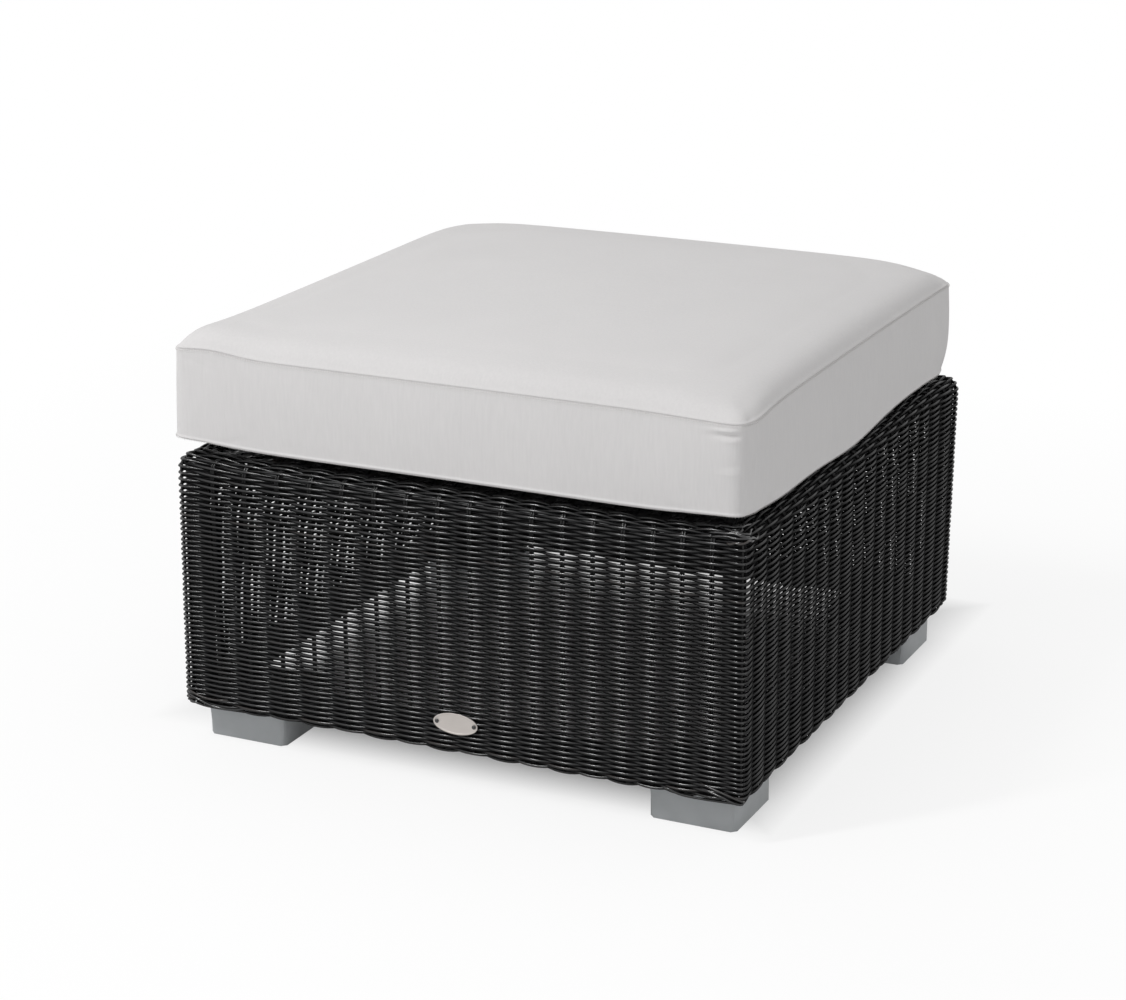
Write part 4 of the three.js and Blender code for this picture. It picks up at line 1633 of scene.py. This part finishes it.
@dataclass
class CoilZip:
    """The zip across the back: a woven tape in the slot and the coil's ribs down its middle."""

    pitch: float = 0.0014
    rib: float = 0.00055
    rib_half: float = 0.0021
    rib_dip: float = 0.0006
    lean: float = 0.0003
    tape_half: float = 0.0050
    tape_back: float = 0.0016
    tape: float = 0.0005
    tape_bow: float = 0.0006
    ripple: float = 0.00008
    ripple_length: float = 0.011

    def build(self, nylon: bpy.types.Material) -> bpy.types.Object:
        """Models the tape and the ribs.

        Args:
            nylon: their material.

        Returns:
            The piece.
        """
        low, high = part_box("zip_chain")
        middle, half = (low.z + high.z) / 2, (high.x - low.x) / 2
        face = high.y - self.rib
        count = int(2 * half / self.pitch)
        paths = []
        for at in -half + self.pitch * (np.arange(count) + 0.5):
            rib = [
                (at - self.lean, face - self.rib_dip, middle - self.rib_half),
                (at - self.lean, face, middle - self.rib_half * 0.6),
                (at + self.lean, face, middle + self.rib_half * 0.6),
                (at + self.lean, face - self.rib_dip, middle + self.rib_half),
            ]
            paths.append(np.array(rib))
        ribs = bundle("zip_coil", paths, [self.rib] * count, [0.5] * count)
        deselect_all()
        bpy.ops.mesh.primitive_grid_add(x_subdivisions=80, y_subdivisions=6, size=2)
        tape = bpy.context.active_object
        points = points_of(tape)
        ripple = self.ripple * np.cos(points[:, 0] * half * 2 * np.pi / self.ripple_length)
        depth = high.y - self.tape_back - self.tape_bow * np.abs(points[:, 1]) ** 2 + ripple
        move_points(tape, np.c_[points[:, 0] * half, depth, middle - points[:, 1] * self.tape_half])
        thicken(tape, self.tape, -1)
        set_values(tape, "tone", np.full(len(tape.data.vertices), 0.2))
        enter_edit(tape)
        bpy.ops.mesh.select_all(action="SELECT")
        bpy.ops.mesh.normals_make_consistent(inside=False)
        leave_edit()
        piece = joined("zip_coil", [ribs, tape])
        dress(piece, nylon)
        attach(piece, "cushion")
        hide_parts("zip_chain")
        return piece


# The studio


@dataclass
class Studio:
    """Pale floor, white surroundings, one tall soft lamp, and a camera at the photograph's view."""

    eye: Point = (1.36533, -2.89821, 1.27861)
    azimuth: float = 25.65525
    elevation: float = 18.01841
    roll: float = -0.30667
    lens: float = 90.066
    key_from: Point = (-1.34, -2.08, 3.32)
    key_size: tuple[float, float] = (0.25, 1.2)
    key_power: float = 71.0
    sky: float = 0.675
    floor_colour: Colour = (0.88, 0.88, 0.88)
    shade_middle: tuple[float, float] = (-0.03, 0.085)
    shaded: float = 0.30
    open_from: float = 0.40
    open_far: float = 1.4
    near_share: float = 0.82
    floor_size: float = 60.0
    aim_height: float = 0.3

    def seen(self, kit: NodeKit) -> Signal:
        """1 on the rays that show the surroundings: to the camera, mirrored or refracted."""
        kinds = ("Camera", "Glossy", "Transmission")
        rays = [kit.node("ShaderNodeLightPath", output=f"Is {kind} Ray") for kind in kinds]
        return (rays[0] + rays[1] + rays[2]).over(0.0, 1.0)

    def camera(self) -> None:
        """Adds the camera."""
        azimuth, elevation = math.radians(self.azimuth), math.radians(self.elevation)
        level_part = math.cos(elevation)
        ahead = math.cos(azimuth) * level_part
        back = Vector((math.sin(azimuth) * level_part, -ahead, math.sin(elevation)))
        right = (-back).cross(Vector((0, 0, 1))).normalized()
        up = right.cross(-back)
        turn = math.radians(self.roll)
        spun = Matrix((right, up, back)).transposed() @ Matrix.Rotation(turn, 3, "Z")
        data = bpy.data.cameras.new("camera")
        data.lens = self.lens
        data.sensor_width = 36
        data.sensor_fit = "HORIZONTAL"
        data.clip_end = 100
        camera = bpy.data.objects.new("camera", data)
        camera.matrix_world = Matrix.Translation(self.eye) @ spun.to_4x4()
        bpy.context.scene.collection.objects.link(camera)
        bpy.context.scene.camera = camera

    def surroundings(self) -> None:
        """Sets the world: soft grey light, seen as white."""
        world = bpy.data.worlds.new("surroundings")
        bpy.context.scene.world = world
        world.use_nodes = True
        kit = NodeKit(world.node_tree)
        seen = self.seen(kit)
        sockets = {"Color": (1, 1, 1, 1), "Strength": seen * (1 - self.sky) + self.sky}
        shader = kit.node("ShaderNodeBackground", None, sockets)
        kit.node("ShaderNodeOutputWorld", None, {"Surface": shader})

    def floor(self) -> None:
        """Adds the floor, which keeps the shadow and is otherwise seen as white."""
        deselect_all()
        bpy.ops.mesh.primitive_plane_add(size=self.floor_size)
        plane = bpy.context.active_object
        plane.name = "floor"
        material, kit = new_material("pale_floor")
        across, along, _ = kit.axes(kit.place())
        reach = abs(across - self.shade_middle[0]).greater(abs(along - self.shade_middle[1]))
        near = reach.over(self.shaded, self.open_from)
        far = reach.over(self.open_from, self.open_far)
        open_floor = near * self.near_share + far * (1 - self.near_share)
        plain = kit.node("ShaderNodeBsdfDiffuse", None, {"Color": (*self.floor_colour, 1)})
        white = kit.node("ShaderNodeEmission", None, {"Strength": 1.0})
        share = self.seen(kit) * open_floor
        kit.surface(kit.node("ShaderNodeMixShader", None, {0: share, 1: plain, 2: white}))
        dress(plane, material)

    def lamp(self) -> None:
        """Adds the tall soft lamp, above and to the front left."""
        data = bpy.data.lights.new("softbox", "AREA")
        data.shape = "RECTANGLE"
        data.size, data.size_y = self.key_size
        data.energy = self.key_power
        lamp = bpy.data.objects.new("softbox", data)
        lamp.location = self.key_from
        aim = Vector((0, 0, self.aim_height)) - lamp.location
        lamp.rotation_euler = aim.to_track_quat("-Z", "Y").to_euler()
        bpy.context.scene.collection.objects.link(lamp)

    def build(self) -> None:
        """Sets the whole studio."""
        settings = bpy.context.scene.view_settings
        settings.view_transform = "Standard"
        self.camera()
        self.surroundings()
        self.floor()
        self.lamp()


def dress_frame(finishes: dict[str, bpy.types.Material]) -> None:
    """Gives every CAD node the finish of its material slot.

    Args:
        finishes: the material of each slot.
    """
    for subpart in frame["record"]["subparts"]:
        dress(frame["nodes"][subpart["node"]], finishes[subpart["material_slot"]])


def main() -> None:
    """Builds the footstool and its studio, piece by piece."""
    logging.basicConfig(level=logging.INFO, format="%(name)s: %(message)s")
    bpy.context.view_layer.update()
    resin = Resin().make()
    cloth = CoverCloth().make()
    foot_coat = Coated("foot_coat", (0.41, 0.425, 0.435), gloss=0.12).make()
    tube_coat = Coated("tube_coat", (0.022, 0.022, 0.024)).make()
    zinc = Brushed("zinc_steel", (0.62, 0.62, 0.60)).make()
    steel = Brushed("plate_steel", (0.60, 0.56, 0.53), roughness=0.42).make()
    nylon = Nylon("zip_nylon", (0.56, 0.55, 0.54)).make()
    thread = Nylon("pale_thread", (0.62, 0.60, 0.59), roughness=0.6).make()
    dress_frame(
        {
            "weave": resin,
            "frame_tube": tube_coat,
            "foot": foot_coat,
            "fastener": zinc,
            "badge": steel,
            "cover_fabric": cloth,
            "zip_nylon": nylon,
            "foam": cloth,
        }
    )
    Studio().build()
    for wall in WovenWalls().build(resin):
        log.info("%s: %d faces", wall.name, len(wall.data.polygons))
    deck = StrapDeck().build(resin)
    log.info("%s: %d faces", deck.name, len(deck.data.polygons))
    BlockFeet().build(foot_coat)
    log.info("feet built")
    NamePlate().build(steel, resin)
    log.info("plate built")
    for piece in BoxCushion().build(cloth, thread):
        log.info("%s: %d faces", piece.name, len(piece.data.polygons))
    coil = CoilZip().build(nylon)
    log.info("%s: %d faces", coil.name, len(coil.data.polygons))


if __name__ == "__main__":
    main()
